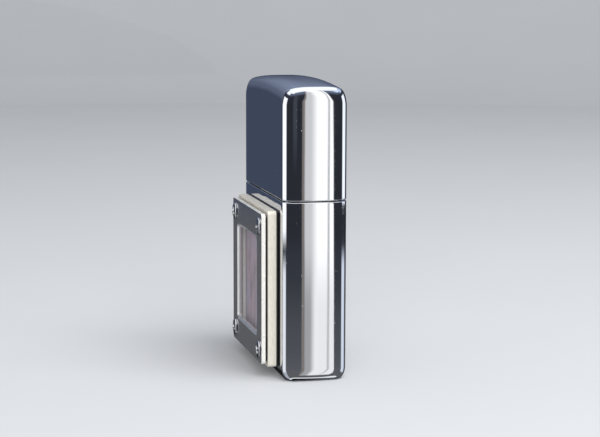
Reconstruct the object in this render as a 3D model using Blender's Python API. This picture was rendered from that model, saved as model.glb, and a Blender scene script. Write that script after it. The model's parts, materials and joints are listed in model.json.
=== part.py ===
"""Flip-lid petrol lighter with a screwed-on picture plaque, lid closed.

+Z up, X across the wide face (hinge at -X, thumb side at +X), plaque on the -Y face.
Origin: centre of the flat base. All dimensions below are millimetres; meshes are in metres.
"""

import bmesh
import bpy
from math import atan2, cos, pi, sin, tau
from mathutils import Vector

MM = 0.001

# Outer case: two deep-drawn shells that meet at the seam.
CASE_WIDTH = 38.1
CASE_THICKNESS = 12.7
CASE_HEIGHT = 57.2
CORNER_RADIUS = 2.6
SIDE_BULGE = 0.45
WALL = 0.65
FLOOR = 0.8
SEAM_Z = 34.65
SEAM_GAP = 0.2
LEAST_RADIUS = 0.3
RIM_EDGE = (0.2, 0.2)
RIM_INNER_CHAMFER = 0.1

# Rounded edges are quarters of an ellipse: how far they reach in, and their height.
BASE_EDGE = (1.2, 2.4)
BASE_INNER_EDGE = (0.65, 0.65)
TOP_EDGE = (1.1, 2.5)
TOP_INNER_EDGE = (0.6, 2.0)

# The lid's top is domed: how far it drops at the long edges and at the ends.
CROWN_ACROSS = 1.5
CROWN_ACROSS_POWER = 3.6
CROWN_ALONG = 0.95
CROWN_INSETS = (2.0, 3.0, 4.2, 5.4)
CROWN_BLEND = 6.0

# Barrel hinge on the -X side, its pin along Y at the seam.
HINGE_X = -18.9
HINGE_PIN_RADIUS = 0.45
HINGE_BORE_RADIUS = 0.5
HINGE_PIN_TIP_RADIUS = 0.27
HINGE_PIN_TIP_LENGTH = 0.12
KNUCKLE_RADIUS = 1.1
KNUCKLES = 5
BARREL_LENGTH = 9.2
KNUCKLE_GAP = 0.12
LEAF_THICKNESS = 0.35
LEAF_HALF_WIDTH = 4.0
LEAF_REACH = 10.0
LEAF_START = 1.2
NOTCH_HALF_HEIGHT = 1.35
NOTCH_HALF_LENGTH = 4.75
TAB_THICKNESS = 0.42
TAB_INSET = 0.05
TAB_OVERLAP = 0.1

# Insert: tank, deck and windguard.
FIT_GAP = 0.05
INSERT_WIDTH = 35.4
INSERT_THICKNESS = 10.9
INSERT_RADIUS = 2.2
INSERT_BULGE = 0.5
INSERT_BOTTOM = 1.2
DECK_Z = 35.85
DECK_THICKNESS = 0.5
DECK_SHOULDER = 0.25
SHEET = 0.35
DECK_TOP = DECK_Z + DECK_THICKNESS

GUARD_LEFT = -8.4
GUARD_RIGHT = 6.2
GUARD_HALF_THICKNESS = 4.6
GUARD_TOP = 52.4
GUARD_RADIUS = 2.6
GUARD_SHEET = 0.4
GUARD_CORNER = 1.0
GUARD_HOLE_RADIUS = 0.95
GUARD_HOLE_PITCH = 3.6
GUARD_HOLE_ROW = 2.9
GUARD_HOLE_TOP_Z = 49.5
GUARD_HOLES_IN_ROW = (3, 2, 3)
EAR_RADIUS = 2.9
EAR_FOOT = 2.175

# Striker: wheel, flint and the sprung tube below it.
WHEEL_X = 11.0
WHEEL_Z = 43.7
WHEEL_RADIUS = 4.25
WHEEL_DRUM_RADIUS = 3.95
WHEEL_HALF_WIDTH = 3.5
WHEEL_DRUM_HALF_WIDTH = 1.9
WHEEL_TEETH = 26
TOOTH_DEPTH = 0.22
DRUM_TOOTH_DEPTH = 0.13
RIM_STEP = 0.2
RIM_CHAMFER = 0.3
RIVET_RADIUS = 1.0
RIVET_HEAD_RADIUS = 1.5
RIVET_HEAD_HEIGHT = 0.5
RIVET_CROWN_SHARE = 0.6
RUNNING_GAP = 0.05
TUBE_RADIUS = 1.9
TUBE_BORE = 1.35
TUBE_BOTTOM = 2.9
TUBE_TOP = 38.9
FLINT_RADIUS = 1.2
FLINT_LENGTH = 5.0
FLINT_TOP = 39.35
TIP_LENGTH = 1.4
TIP_NOSE_RADIUS = 0.7
TIP_TAPER = 0.4
SPRING_COIL_RADIUS = 1.0
SPRING_WIRE_RADIUS = 0.17
SPRING_TURNS = 11
SPRING_END_GAP = 0.3
SCREW_HEAD_RADIUS = 2.6
SCREW_HEAD_BOTTOM = 1.5
SCREW_HEAD_CHAMFER = 0.2
SCREW_SEAT_GAP = 0.1
SCREW_SHANK_TOP = 8.4
SCREW_SLOT_HALF_WIDTH = 0.4
SCREW_SLOT_DEPTH = 0.6

# Cam that snaps the lid, its spring and its rivet.
CAM_X = -12.8
CAM_Z = 39.9
CAM_HUB_RADIUS = 1.9
CAM_ARM = (-4.0, 5.0)
CAM_TIP_RADIUS = 0.8
CAM_HALF_THICKNESS = 1.3
CAM_RIVET_RADIUS = 0.6
CAM_RIVET_HEAD_RADIUS = 1.1
EAR_GAP = 0.2
CAM_EAR_THICKNESS = 0.45
CAM_EAR_RADIUS = 1.5
CAM_EAR_FOOT = 2.2
CAM_EAR_SINK = 0.3
CAM_SPRING_HALF_WIDTH = 1.2
CAM_SPRING_THICKNESS = 0.25
CAM_SPRING_X = (-8.8, -10.7, -11.9, -12.8, -16.6)
CAM_SPRING_DROP = 0.1
SPRING_RIVET_X = -9.7
SPRING_RIVET_RADIUS = 0.5
SPRING_RIVET_HEAD_RADIUS = 0.85
SPRING_RIVET_HEAD = (0.15, 0.35)
SPRING_RIVET_TAIL = 0.3

# Fuel parts.
PAD_BOTTOM = 1.5
PAD_THICKNESS = 2.6
PAD_GAP = 0.1
PAD_HOLE_GAP = 0.3
PACKING_TOP = 35.3
PACKING_GAP = 0.2
PACKING_HOLE_GAP = 0.15
WICK_X = -1.5
WICK_RADIUS = 1.3
WICK_BOTTOM = 13.2
WICK_TOP = 42.5
WICK_LOWER_END = (1.1, 0.4)
WICK_UPPER_END = (0.9, 0.5)
WICK_HOLE_GAP = 0.2

# Plaque on the front of the bottom shell.
PLAQUE_Z = 17.2
PLATE_WIDTH = 27.8
PLATE_HEIGHT = 30.4
PLATE_THICKNESS = 2.0
FRAME_WIDTH = 27.4
FRAME_HEIGHT = 29.3
FRAME_THICKNESS = 0.8
GASKET_THICKNESS = 0.32
GASKET_INSET = 0.5
PLATE_RADIUS = 0.7
PLATE_CHAMFER = 0.15
WINDOW_WIDTH = 18.0
WINDOW_HEIGHT = 18.8
WINDOW_BEVEL = 0.5
WINDOW_BEVEL_DEPTH = 0.4
WINDOW_RADIUS = 0.8
POCKET_MARGIN = 1.2
POCKET_DEPTH = 1.0
POCKET_RADIUS = 0.3
CARD_THICKNESS = 0.3
CARD_CHAMFER = 0.05
COVER_CHAMFER = 0.1
SCREW_EDGE = (2.4, 2.6)
PLAQUE_SCREW_RADIUS = 1.65
PLAQUE_SCREW_HEIGHT = 0.45
PLAQUE_SCREW_DOME = ((1.65, 0.18), (1.35, 0.36), (0.82, 0.45))
PLAQUE_SHANK_RADIUS = 0.8
PLAQUE_SHANK_LENGTH = 2.2
PLAQUE_SLOT_WIDTH = 0.45
PLAQUE_SLOT_DEPTH = 0.27
HOLE_GAP = 0.1
HOLE_STOP = 0.4

# How far a cutter runs past the surface it cuts.
OVERSHOOT = 1.0

CORNER_STEPS = 6
SIDE_STEPS = 6
FACE_STEPS = 4
ROUND = 20
FINE_ROUND = 24
COARSE_ROUND = 16
SMALL_ROUND = 12

HALF_THICKNESS = CASE_THICKNESS / 2
CASE_FRONT = -HALF_THICKNESS
PLATE_BACK = CASE_FRONT - FIT_GAP
PLATE_FRONT = PLATE_BACK - PLATE_THICKNESS
GASKET_BACK = PLATE_FRONT - FIT_GAP
GASKET_FRONT = GASKET_BACK - GASKET_THICKNESS
FRAME_BACK = GASKET_FRONT - FIT_GAP
FRAME_FRONT = FRAME_BACK - FRAME_THICKNESS


# ---------------------------------------------------------------- materials

def make_material(name, color, roughness, metallic=0.0):
    material = bpy.data.materials.new(name)
    material.use_nodes = True
    shader = material.node_tree.nodes["Principled BSDF"]
    shader.inputs["Base Color"].default_value = (*color, 1.0)
    shader.inputs["Roughness"].default_value = roughness
    shader.inputs["Metallic"].default_value = metallic
    return material


def make_materials():
    return {
        "chrome": make_material("chrome", (0.80, 0.81, 0.84), 0.04, 1.0),
        "brushed_nickel": make_material("brushed_nickel", (0.74, 0.71, 0.64), 0.32, 1.0),
        "polished_nickel": make_material("polished_nickel", (0.62, 0.62, 0.64), 0.12, 1.0),
        "steel": make_material("steel", (0.60, 0.60, 0.61), 0.28, 1.0),
        "tool_steel": make_material("tool_steel", (0.30, 0.29, 0.29), 0.42, 1.0),
        "brass": make_material("brass", (0.72, 0.55, 0.27), 0.30, 1.0),
        "gasket": make_material("gasket", (0.02, 0.02, 0.02), 0.7),
        "glass": make_material("glass", (0.85, 0.87, 0.90), 0.05),
        "print": make_material("print", (0.42, 0.32, 0.38), 0.55),
        "felt": make_material("felt", (0.55, 0.53, 0.50), 0.95),
        "cotton": make_material("cotton", (0.85, 0.84, 0.80), 0.95),
        "wick": make_material("wick", (0.80, 0.76, 0.66), 0.9),
        "flint": make_material("flint", (0.22, 0.20, 0.19), 0.6, 0.6),
    }


# ---------------------------------------------------------------- mesh tools

def skin(rings, closed=False, domed=False):
    """Skin a stack of equal rings; its ends are capped, or joined when closed.

    A domed cap on a case ring is a strip of faces across it, because the ring isn't flat.
    """
    mesh = bmesh.new()
    loops = [[mesh.verts.new(Vector(point) * MM) for point in ring] for ring in rings]
    pairs = list(zip(loops, loops[1:]))
    if closed:
        pairs.append((loops[-1], loops[0]))
    elif domed:
        cap_across(mesh, loops[0])
        cap_across(mesh, loops[-1])
    else:
        mesh.faces.new(loops[0])
        mesh.faces.new(loops[-1])
    for low, high in pairs:
        for i in range(len(low)):
            j = (i + 1) % len(low)
            mesh.faces.new((low[i], low[j], high[j], high[i]))
    bmesh.ops.recalc_face_normals(mesh, faces=mesh.faces)
    return mesh


def cap_across(mesh, loop):
    """Close a case ring with faces that run straight across it in Y."""
    last = len(loop) - SIDE_STEPS
    left = (last - SIDE_STEPS) // 2
    for i in range(left):
        mesh.faces.new((loop[i], loop[i + 1], loop[last - i - 1], loop[last - i]))
    mesh.faces.new(loop[left:left + SIDE_STEPS + 1])
    mesh.faces.new(loop[last:] + [loop[0]])


def add(name, mesh, material, origin=(0, 0, 0)):
    """Object from a mesh given in world place; its origin is put at the given point."""
    origin = Vector(origin) * MM
    bmesh.ops.translate(mesh, verts=mesh.verts, vec=-origin)
    data = bpy.data.meshes.new(name)
    mesh.to_mesh(data)
    mesh.free()
    data.materials.append(material)
    data.shade_smooth()
    data.set_sharp_from_angle(angle=pi / 6)
    thing = bpy.data.objects.new(name, data)
    thing.location = origin
    bpy.context.scene.collection.objects.link(thing)
    return thing


def combine(target, operation, name, mesh):
    """Boolean the target with a hidden helper body."""
    helper = add(f"{target.name}_{name}", mesh, target.data.materials[0])
    helper.hide_render = True
    helper.display_type = "WIRE"
    modifier = target.modifiers.new(name, "BOOLEAN")
    modifier.operation = operation
    modifier.object = helper


def rounded_rectangle(half_width, half_height, radius, bulge=0.0):
    """Closed outline in (u, v); the ends at +-u bow outwards by the bulge."""
    flat_u = half_width - bulge - radius
    flat_v = half_height - radius
    corners = []
    for quarter, (su, sv) in enumerate(((1, 1), (-1, 1), (-1, -1), (1, -1))):
        for step in range(CORNER_STEPS + 1):
            angle = (quarter + step / CORNER_STEPS) * pi / 2
            corners.append((su * flat_u + radius * cos(angle), sv * flat_v + radius * sin(angle)))
    outline = []
    for i, start in enumerate(corners):
        end = corners[(i + 1) % len(corners)]
        outline.append(start)
        if (i + 1) % (CORNER_STEPS + 1) == 0:
            steps = FACE_STEPS if abs(end[0] - start[0]) > abs(end[1] - start[1]) else SIDE_STEPS
            for step in range(1, steps):
                t = step / steps
                outline.append(tuple(a + (b - a) * t for a, b in zip(start, end)))
    return [(u + (bulge * (1 - (v / half_height) ** 2) if u > 0 else
                  -bulge * (1 - (v / half_height) ** 2)), v) for u, v in outline]


def circle(radius, steps=ROUND):
    return [(radius * cos(tau * i / steps), radius * sin(tau * i / steps)) for i in range(steps)]


def along_y(outline, y, centre=(0, 0)):
    """Outline (x, z) at the given y."""
    return [(centre[0] + u, y, centre[1] + v) for u, v in outline]


def along_z(outline, z, centre=(0, 0)):
    return [(centre[0] + u, centre[1] + v, z) for u, v in outline]


def box(low, high):
    corners = ((low[0], low[1]), (high[0], low[1]), (high[0], high[1]), (low[0], high[1]))
    return skin([along_z(corners, low[2]), along_z(corners, high[2])])


def turned_y(profile, centre, closed=False, steps=ROUND):
    """Turned piece about a line along Y: (radius, y) stations."""
    return skin([along_y(circle(radius, steps), y, centre) for radius, y in profile], closed)


def turned_z(profile, x, closed=False, steps=ROUND):
    """Turned piece about a vertical line in the plane y = 0: (radius, z) stations."""
    return skin([along_z(circle(radius, steps), z, (x, 0)) for radius, z in profile], closed)


def strip(points, half_width, thickness):
    """Strip of sheet metal, wide along Y, with its underside on points (x, z)."""
    upper = [(x, z + thickness) for x, z in points]
    outline = points + upper[::-1]
    return skin([along_y(outline, -half_width), along_y(outline, half_width)])


# ---------------------------------------------------------------- outer case

def case_ring(inset, z, crown=0.0):
    """Ring of the case's plan outline, moved in by the inset; the crown lowers it off centre."""
    outline = rounded_rectangle(
        CASE_WIDTH / 2 - inset,
        HALF_THICKNESS - inset,
        max(CORNER_RADIUS - inset, LEAST_RADIUS),
        SIDE_BULGE,
    )
    ring = []
    for x, y in outline:
        across = CROWN_ACROSS * abs(y / HALF_THICKNESS) ** CROWN_ACROSS_POWER
        along = CROWN_ALONG * (2 * x / CASE_WIDTH) ** 2
        ring.append((x, y, z - crown * (across + along)))
    return ring


def edge_arc(size, z, upward, steps=4, inset=0.0):
    """Stations (inset, z) round an edge, from the flat face at z to the upright wall."""
    reach, height = size
    stations = []
    for step in range(steps + 1):
        angle = step / steps * pi / 2
        stations.append((
            inset + reach * (1 - sin(angle)),
            z + upward * height * (1 - cos(angle)),
        ))
    return stations


def rim_stations(rim, upward):
    """Round the rim of a shell from its outer wall to its inner wall."""
    return edge_arc(RIM_EDGE, rim, upward, 3)[::-1] + [
        (WALL - RIM_INNER_CHAMFER, rim),
        (WALL, rim + upward * RIM_INNER_CHAMFER),
    ]


def make_case_bottom(material):
    stations = edge_arc(BASE_EDGE, 0, 1)
    stations += rim_stations(SEAM_Z - SEAM_GAP / 2, -1)
    stations += edge_arc(BASE_INNER_EDGE, FLOOR, 1, 2, WALL)[::-1]
    shell = add("case_bottom", skin([case_ring(*station) for station in stations]), material)
    slot = notch(SEAM_Z - NOTCH_HALF_HEIGHT, SEAM_Z + OVERSHOOT)
    combine(shell, "DIFFERENCE", "hinge_notch", slot)


def make_case_lid(material):
    inner_top = CASE_HEIGHT - WALL
    rings = [case_ring(inset, CASE_HEIGHT, 1) for inset in CROWN_INSETS[::-1]]
    rings += [case_ring(*station, 1) for station in edge_arc(TOP_EDGE, CASE_HEIGHT, -1, 5)]
    rings.append(case_ring(0, CASE_HEIGHT - CROWN_BLEND))
    rings += [case_ring(*station) for station in rim_stations(SEAM_Z + SEAM_GAP / 2, 1)]
    rings.append(case_ring(WALL, CASE_HEIGHT - CROWN_BLEND))
    inner_edge = edge_arc(TOP_INNER_EDGE, inner_top, -1, 3, WALL)[::-1]
    rings += [case_ring(*station, 1) for station in inner_edge]
    rings += [case_ring(inset, inner_top, 1) for inset in CROWN_INSETS]
    lid = add("case_lid", skin(rings, domed=True), material, hinge_point())
    slot = notch(SEAM_Z - OVERSHOOT, SEAM_Z + NOTCH_HALF_HEIGHT)
    combine(lid, "DIFFERENCE", "hinge_notch", slot)


def notch(low, high):
    """Cutter for the slot in the -X wall that the hinge barrel lies in."""
    return box(
        (-CASE_WIDTH / 2 - OVERSHOOT, -NOTCH_HALF_LENGTH, low),
        (-CASE_WIDTH / 2 + 2 * WALL, NOTCH_HALF_LENGTH, high),
    )


# ---------------------------------------------------------------- hinge

def hinge_point():
    return (HINGE_X, 0, SEAM_Z)


def leaf_plate(low, high):
    """Leaf curved to the inside of the bowed wall, from one height to the other."""
    inner_half = HALF_THICKNESS - WALL
    outer = []
    for step in range(SIDE_STEPS + 1):
        y = LEAF_HALF_WIDTH * (2 * step / SIDE_STEPS - 1)
        bow = SIDE_BULGE * (y / inner_half) ** 2
        outer.append((-(CASE_WIDTH / 2 - WALL - FIT_GAP) + bow, y))
    inner = [(x + LEAF_THICKNESS, y) for x, y in outer]
    outline = outer + inner[::-1]
    return skin([along_z(outline, low), along_z(outline, high)])


def make_leaf(name, upward, first_knuckle, material):
    """One hinge leaf: a plate on the shell's inner wall, and every second knuckle."""
    ends = sorted((SEAM_Z + upward * LEAF_START, SEAM_Z + upward * (LEAF_START + LEAF_REACH)))
    leaf = add(name, leaf_plate(*ends), material, hinge_point())
    pitch = BARREL_LENGTH / KNUCKLES
    for number in range(first_knuckle, KNUCKLES, 2):
        low = -BARREL_LENGTH / 2 + number * pitch + KNUCKLE_GAP / 2
        high = low + pitch - KNUCKLE_GAP
        tab_x = HINGE_X + KNUCKLE_RADIUS - TAB_INSET
        tab_ends = sorted((SEAM_Z, SEAM_Z + upward * (LEAF_START + TAB_OVERLAP)))
        tab = box((tab_x - TAB_THICKNESS, low, tab_ends[0]), (tab_x, high, tab_ends[1]))
        combine(leaf, "UNION", f"tab_{number + 1}", tab)
        profile = (
            (HINGE_BORE_RADIUS, low),
            (KNUCKLE_RADIUS, low),
            (KNUCKLE_RADIUS, high),
            (HINGE_BORE_RADIUS, high),
        )
        knuckle = turned_y(profile, (HINGE_X, SEAM_Z), True, FINE_ROUND)
        combine(leaf, "UNION", f"knuckle_{number + 1}", knuckle)


def make_hinge(materials):
    make_leaf("hinge_leaf_lower", -1, 0, materials["chrome"])
    make_leaf("hinge_leaf_upper", 1, 1, materials["chrome"])
    half = BARREL_LENGTH / 2
    profile = (
        (HINGE_PIN_TIP_RADIUS, -half - HINGE_PIN_TIP_LENGTH),
        (HINGE_PIN_RADIUS, -half),
        (HINGE_PIN_RADIUS, half),
        (HINGE_PIN_TIP_RADIUS, half + HINGE_PIN_TIP_LENGTH),
    )
    pin = turned_y(profile, (HINGE_X, SEAM_Z), steps=FINE_ROUND)
    add("hinge_pin", pin, materials["steel"])


# ---------------------------------------------------------------- plaque

def plate(name, half_width, half_height, radius, back, front, material, chamfer=PLATE_CHAMFER):
    """Rounded plate standing parallel to the front face, centred on the plaque."""
    rings = []
    for inset, y in ((0, back), (0, front + chamfer), (chamfer, front)):
        outline = rounded_rectangle(half_width - inset, half_height - inset, radius - inset)
        rings.append(along_y(outline, y, (0, PLAQUE_Z)))
    return add(name, skin(rings), material)


def plaque_screw_places():
    """(x, z) of the four screws, from the top corner on the thumb side, round the plaque."""
    across = FRAME_WIDTH / 2 - SCREW_EDGE[0]
    up = FRAME_HEIGHT / 2 - SCREW_EDGE[1]
    return [(su * across, PLAQUE_Z + sv * up) for su, sv in ((1, 1), (-1, 1), (-1, -1), (1, -1))]


def cut_screw_holes(target, back, front):
    radius = PLAQUE_SHANK_RADIUS + HOLE_GAP
    for number, place in enumerate(plaque_screw_places()):
        hole = turned_y(((radius, back), (radius, front)), place, steps=COARSE_ROUND)
        combine(target, "DIFFERENCE", f"hole_{number + 1}", hole)


def make_plaque(materials):
    base = plate("plaque_base", PLATE_WIDTH / 2, PLATE_HEIGHT / 2, PLATE_RADIUS,
                 PLATE_BACK, PLATE_FRONT, materials["brushed_nickel"])
    pocket_half = (WINDOW_WIDTH / 2 + POCKET_MARGIN, WINDOW_HEIGHT / 2 + POCKET_MARGIN)
    pocket_floor = PLATE_FRONT + POCKET_DEPTH
    pocket = box(
        (-pocket_half[0], PLATE_FRONT - OVERSHOOT, PLAQUE_Z - pocket_half[1]),
        (pocket_half[0], pocket_floor, PLAQUE_Z + pocket_half[1]),
    )
    combine(base, "DIFFERENCE", "pocket", pocket)
    cut_screw_holes(base, PLATE_BACK - HOLE_STOP, PLATE_FRONT - OVERSHOOT)

    make_gasket(pocket_half, materials["gasket"])
    make_frame(materials["polished_nickel"])

    card_back = pocket_floor - FIT_GAP
    card_front = card_back - CARD_THICKNESS
    half = [side - FIT_GAP for side in pocket_half]
    plate("picture_card", *half, POCKET_RADIUS, card_back, card_front,
          materials["print"], CARD_CHAMFER)
    plate("window_cover", *half, POCKET_RADIUS, card_front - FIT_GAP, FRAME_BACK + FIT_GAP,
          materials["glass"], COVER_CHAMFER)

    for number, place in enumerate(plaque_screw_places()):
        make_plaque_screw(f"plaque_screw_{number + 1}", place, materials["steel"])


def make_gasket(pocket_half, material):
    """Thin dark sheet between the two plates, set in from their edges."""
    half_width = FRAME_WIDTH / 2 - GASKET_INSET
    half_height = FRAME_HEIGHT / 2 - GASKET_INSET
    outer = rounded_rectangle(half_width, half_height, PLATE_RADIUS)
    inner = rounded_rectangle(pocket_half[0], pocket_half[1], POCKET_RADIUS)
    rings = (
        along_y(outer, GASKET_BACK, (0, PLAQUE_Z)),
        along_y(outer, GASKET_FRONT, (0, PLAQUE_Z)),
        along_y(inner, GASKET_FRONT, (0, PLAQUE_Z)),
        along_y(inner, GASKET_BACK, (0, PLAQUE_Z)),
    )
    gasket = add("plaque_gasket", skin(rings, closed=True), material)
    cut_screw_holes(gasket, GASKET_BACK + OVERSHOOT, GASKET_FRONT - OVERSHOOT)


def make_frame(material):
    """Front plate with a bevelled window."""
    outside = (FRAME_WIDTH / 2, FRAME_HEIGHT / 2, PLATE_RADIUS)
    window = (WINDOW_WIDTH / 2, WINDOW_HEIGHT / 2, WINDOW_RADIUS)
    stations = (
        (outside, 0, FRAME_BACK),
        (outside, 0, FRAME_FRONT + PLATE_CHAMFER),
        (outside, -PLATE_CHAMFER, FRAME_FRONT),
        (window, WINDOW_BEVEL, FRAME_FRONT),
        (window, 0, FRAME_FRONT + WINDOW_BEVEL_DEPTH),
        (window, 0, FRAME_BACK),
    )
    rings = []
    for sizes, grow, y in stations:
        outline = rounded_rectangle(*(size + grow for size in sizes))
        rings.append(along_y(outline, y, (0, PLAQUE_Z)))
    frame = add("plaque_frame", skin(rings, closed=True), material)
    cut_screw_holes(frame, FRAME_BACK + OVERSHOOT, FRAME_FRONT - OVERSHOOT)


def make_plaque_screw(name, place, material):
    """Low domed head with a slot, and a shank into the back plate."""
    seat = FRAME_FRONT - FIT_GAP
    head = seat - PLAQUE_SCREW_HEIGHT
    profile = [
        (PLAQUE_SHANK_RADIUS, seat + PLAQUE_SHANK_LENGTH),
        (PLAQUE_SHANK_RADIUS, seat),
        (PLAQUE_SCREW_RADIUS, seat),
    ]
    profile += [(radius, seat - height) for radius, height in PLAQUE_SCREW_DOME]
    screw = add(name, turned_y(profile, place), material)
    reach = PLAQUE_SCREW_RADIUS + OVERSHOOT
    half_slot = PLAQUE_SLOT_WIDTH / 2
    slot = box(
        (place[0] - reach, head - OVERSHOOT, place[1] - half_slot),
        (place[0] + reach, head + PLAQUE_SLOT_DEPTH, place[1] + half_slot),
    )
    combine(screw, "DIFFERENCE", "slot", slot)


# ---------------------------------------------------------------- insert

def insert_ring(inset, z):
    outline = rounded_rectangle(
        INSERT_WIDTH / 2 - inset,
        INSERT_THICKNESS / 2 - inset,
        INSERT_RADIUS - inset,
        INSERT_BULGE,
    )
    return along_z(outline, z)


def post(radius, x, low, high):
    """Upright round helper body in the plane y = 0."""
    return turned_z(((radius, low), (radius, high)), x)


def make_tank(material):
    top = DECK_Z - FIT_GAP
    rings = (
        insert_ring(0, INSERT_BOTTOM),
        insert_ring(0, top),
        insert_ring(SHEET, top),
        insert_ring(SHEET, INSERT_BOTTOM),
    )
    add("insert_tank", skin(rings, closed=True), material)


def make_deck(material):
    """Top plate of the tank, with two ears that hold the cam's rivet."""
    rings = (
        insert_ring(0, DECK_Z),
        insert_ring(0, DECK_TOP - DECK_SHOULDER),
        insert_ring(DECK_SHOULDER, DECK_TOP),
    )
    deck = add("insert_deck", skin(rings), material)
    ear_inner = CAM_HALF_THICKNESS + EAR_GAP
    ear_outer = ear_inner + CAM_EAR_THICKNESS
    foot_z = DECK_TOP - CAM_EAR_SINK
    outline = []
    for step in range(9):
        angle = pi * step / 8
        outline.append((CAM_X + CAM_EAR_RADIUS * cos(angle), CAM_Z + CAM_EAR_RADIUS * sin(angle)))
    outline += [(CAM_X - CAM_EAR_FOOT, foot_z), (CAM_X + CAM_EAR_FOOT, foot_z)]
    for number, side in enumerate((-1, 1)):
        ear = skin([along_y(outline, side * y) for y in (ear_inner, ear_outer)])
        combine(deck, "UNION", f"ear_{number + 1}", ear)
    bore = CAM_RIVET_RADIUS + RUNNING_GAP
    reach = ear_outer + OVERSHOOT
    hole = turned_y(((bore, -reach), (bore, reach)), (CAM_X, CAM_Z), steps=FINE_ROUND)
    combine(deck, "DIFFERENCE", "cam_rivet_hole", hole)
    holes = (
        ("wick_hole", WICK_RADIUS + WICK_HOLE_GAP, WICK_X),
        ("tube_hole", TUBE_RADIUS + HOLE_GAP, WHEEL_X),
        ("spring_rivet_hole", SPRING_RIVET_RADIUS + FIT_GAP, SPRING_RIVET_X),
    )
    for name, radius, x in holes:
        combine(deck, "DIFFERENCE", name, post(radius, x, DECK_Z - OVERSHOOT, DECK_TOP + OVERSHOOT))


def guard_plan():
    """U-shaped sheet in plan: closed at the cam side, open at the wheel."""
    right = WHEEL_X + EAR_RADIUS
    outer = bend(GUARD_LEFT, GUARD_HALF_THICKNESS, GUARD_RADIUS, right)
    inner = bend(GUARD_LEFT + GUARD_SHEET, GUARD_HALF_THICKNESS - GUARD_SHEET,
                 GUARD_RADIUS - GUARD_SHEET, right)
    return outer + inner[::-1]


def bend(left, half, radius, right):
    path = [(right, half)]
    for centre_y, start in ((half - radius, pi / 2), (radius - half, pi)):
        for step in range(CORNER_STEPS + 1):
            angle = start + step / CORNER_STEPS * pi / 2
            path.append((left + radius + radius * cos(angle), centre_y + radius * sin(angle)))
    path.append((right, -half))
    return path


def guard_side():
    """Outline of the windguard seen from the side, open past its closed end and its foot."""
    low = DECK_TOP + FIT_GAP - OVERSHOOT
    left = GUARD_LEFT - OVERSHOOT
    above = GUARD_TOP + OVERSHOOT
    corner_x = GUARD_RIGHT - GUARD_CORNER
    side = [(left, low), (left, above), (corner_x, above), (corner_x, GUARD_TOP)]
    side += [(GUARD_RIGHT, GUARD_TOP - GUARD_CORNER), (GUARD_RIGHT, WHEEL_Z + EAR_RADIUS)]
    for step in range(7):
        angle = pi / 2 * (1 - step / 6)
        side.append((WHEEL_X + EAR_RADIUS * cos(angle), WHEEL_Z + EAR_RADIUS * sin(angle)))
    side.append((WHEEL_X + EAR_FOOT, low))
    return side


def make_windguard(material):
    sheet = skin([along_z(guard_plan(), z) for z in (DECK_TOP + FIT_GAP, GUARD_TOP)])
    guard = add("windguard", sheet, material)
    reach = GUARD_HALF_THICKNESS + OVERSHOOT
    side_shape = skin([along_y(guard_side(), y) for y in (-reach, reach)])
    combine(guard, "INTERSECT", "side_shape", side_shape)
    bore = RIVET_RADIUS + RUNNING_GAP
    axle = turned_y(((bore, -reach), (bore, reach)), (WHEEL_X, WHEEL_Z), steps=FINE_ROUND)
    combine(guard, "DIFFERENCE", "axle_holes", axle)
    middle = (GUARD_LEFT + GUARD_RIGHT) / 2
    profile = ((GUARD_HOLE_RADIUS, -reach), (GUARD_HOLE_RADIUS, reach))
    for row, count in enumerate(GUARD_HOLES_IN_ROW):
        z = GUARD_HOLE_TOP_Z - row * GUARD_HOLE_ROW
        for place in range(count):
            x = middle + (place - (count - 1) / 2) * GUARD_HOLE_PITCH
            hole = turned_y(profile, (x, z), steps=SMALL_ROUND)
            combine(guard, "DIFFERENCE", f"hole_{row + 1}_{place + 1}", hole)


def make_fuel_parts(materials):
    pad_top = PAD_BOTTOM + PAD_THICKNESS
    pad = skin([insert_ring(SHEET + PAD_GAP, z) for z in (PAD_BOTTOM, pad_top)])
    felt = add("felt_pad", pad, materials["felt"])
    screw_hole = post(
        SCREW_HEAD_RADIUS + PAD_HOLE_GAP, WHEEL_X, PAD_BOTTOM - OVERSHOOT, pad_top + OVERSHOOT
    )
    combine(felt, "DIFFERENCE", "screw_hole", screw_hole)

    packing_bottom = pad_top + PACKING_GAP
    block = skin([insert_ring(SHEET + PACKING_GAP, z) for z in (packing_bottom, PACKING_TOP)])
    packing = add("fuel_packing", block, materials["cotton"])
    above = PACKING_TOP + OVERSHOOT
    tube_hole = post(TUBE_RADIUS + PACKING_HOLE_GAP, WHEEL_X, packing_bottom - OVERSHOOT, above)
    combine(packing, "DIFFERENCE", "tube_hole", tube_hole)
    wick_hole = post(WICK_RADIUS + PACKING_HOLE_GAP, WICK_X, WICK_BOTTOM - PACKING_GAP, above)
    combine(packing, "DIFFERENCE", "wick_hole", wick_hole)

    profile = (
        (WICK_LOWER_END[0], WICK_BOTTOM),
        (WICK_RADIUS, WICK_BOTTOM + WICK_LOWER_END[1]),
        (WICK_RADIUS, WICK_TOP - WICK_UPPER_END[1]),
        (WICK_UPPER_END[0], WICK_TOP),
    )
    add("wick", turned_z(profile, WICK_X, steps=SMALL_ROUND), materials["wick"])


# ---------------------------------------------------------------- striker

def wheel_ring(radius, depth, y):
    """Toothed ring: points alternate between the crest and the root."""
    points = []
    for i in range(2 * WHEEL_TEETH):
        angle = tau * i / (2 * WHEEL_TEETH)
        reach = radius - (depth if i % 2 else 0)
        points.append((WHEEL_X + reach * cos(angle), y, WHEEL_Z + reach * sin(angle)))
    return points


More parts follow.
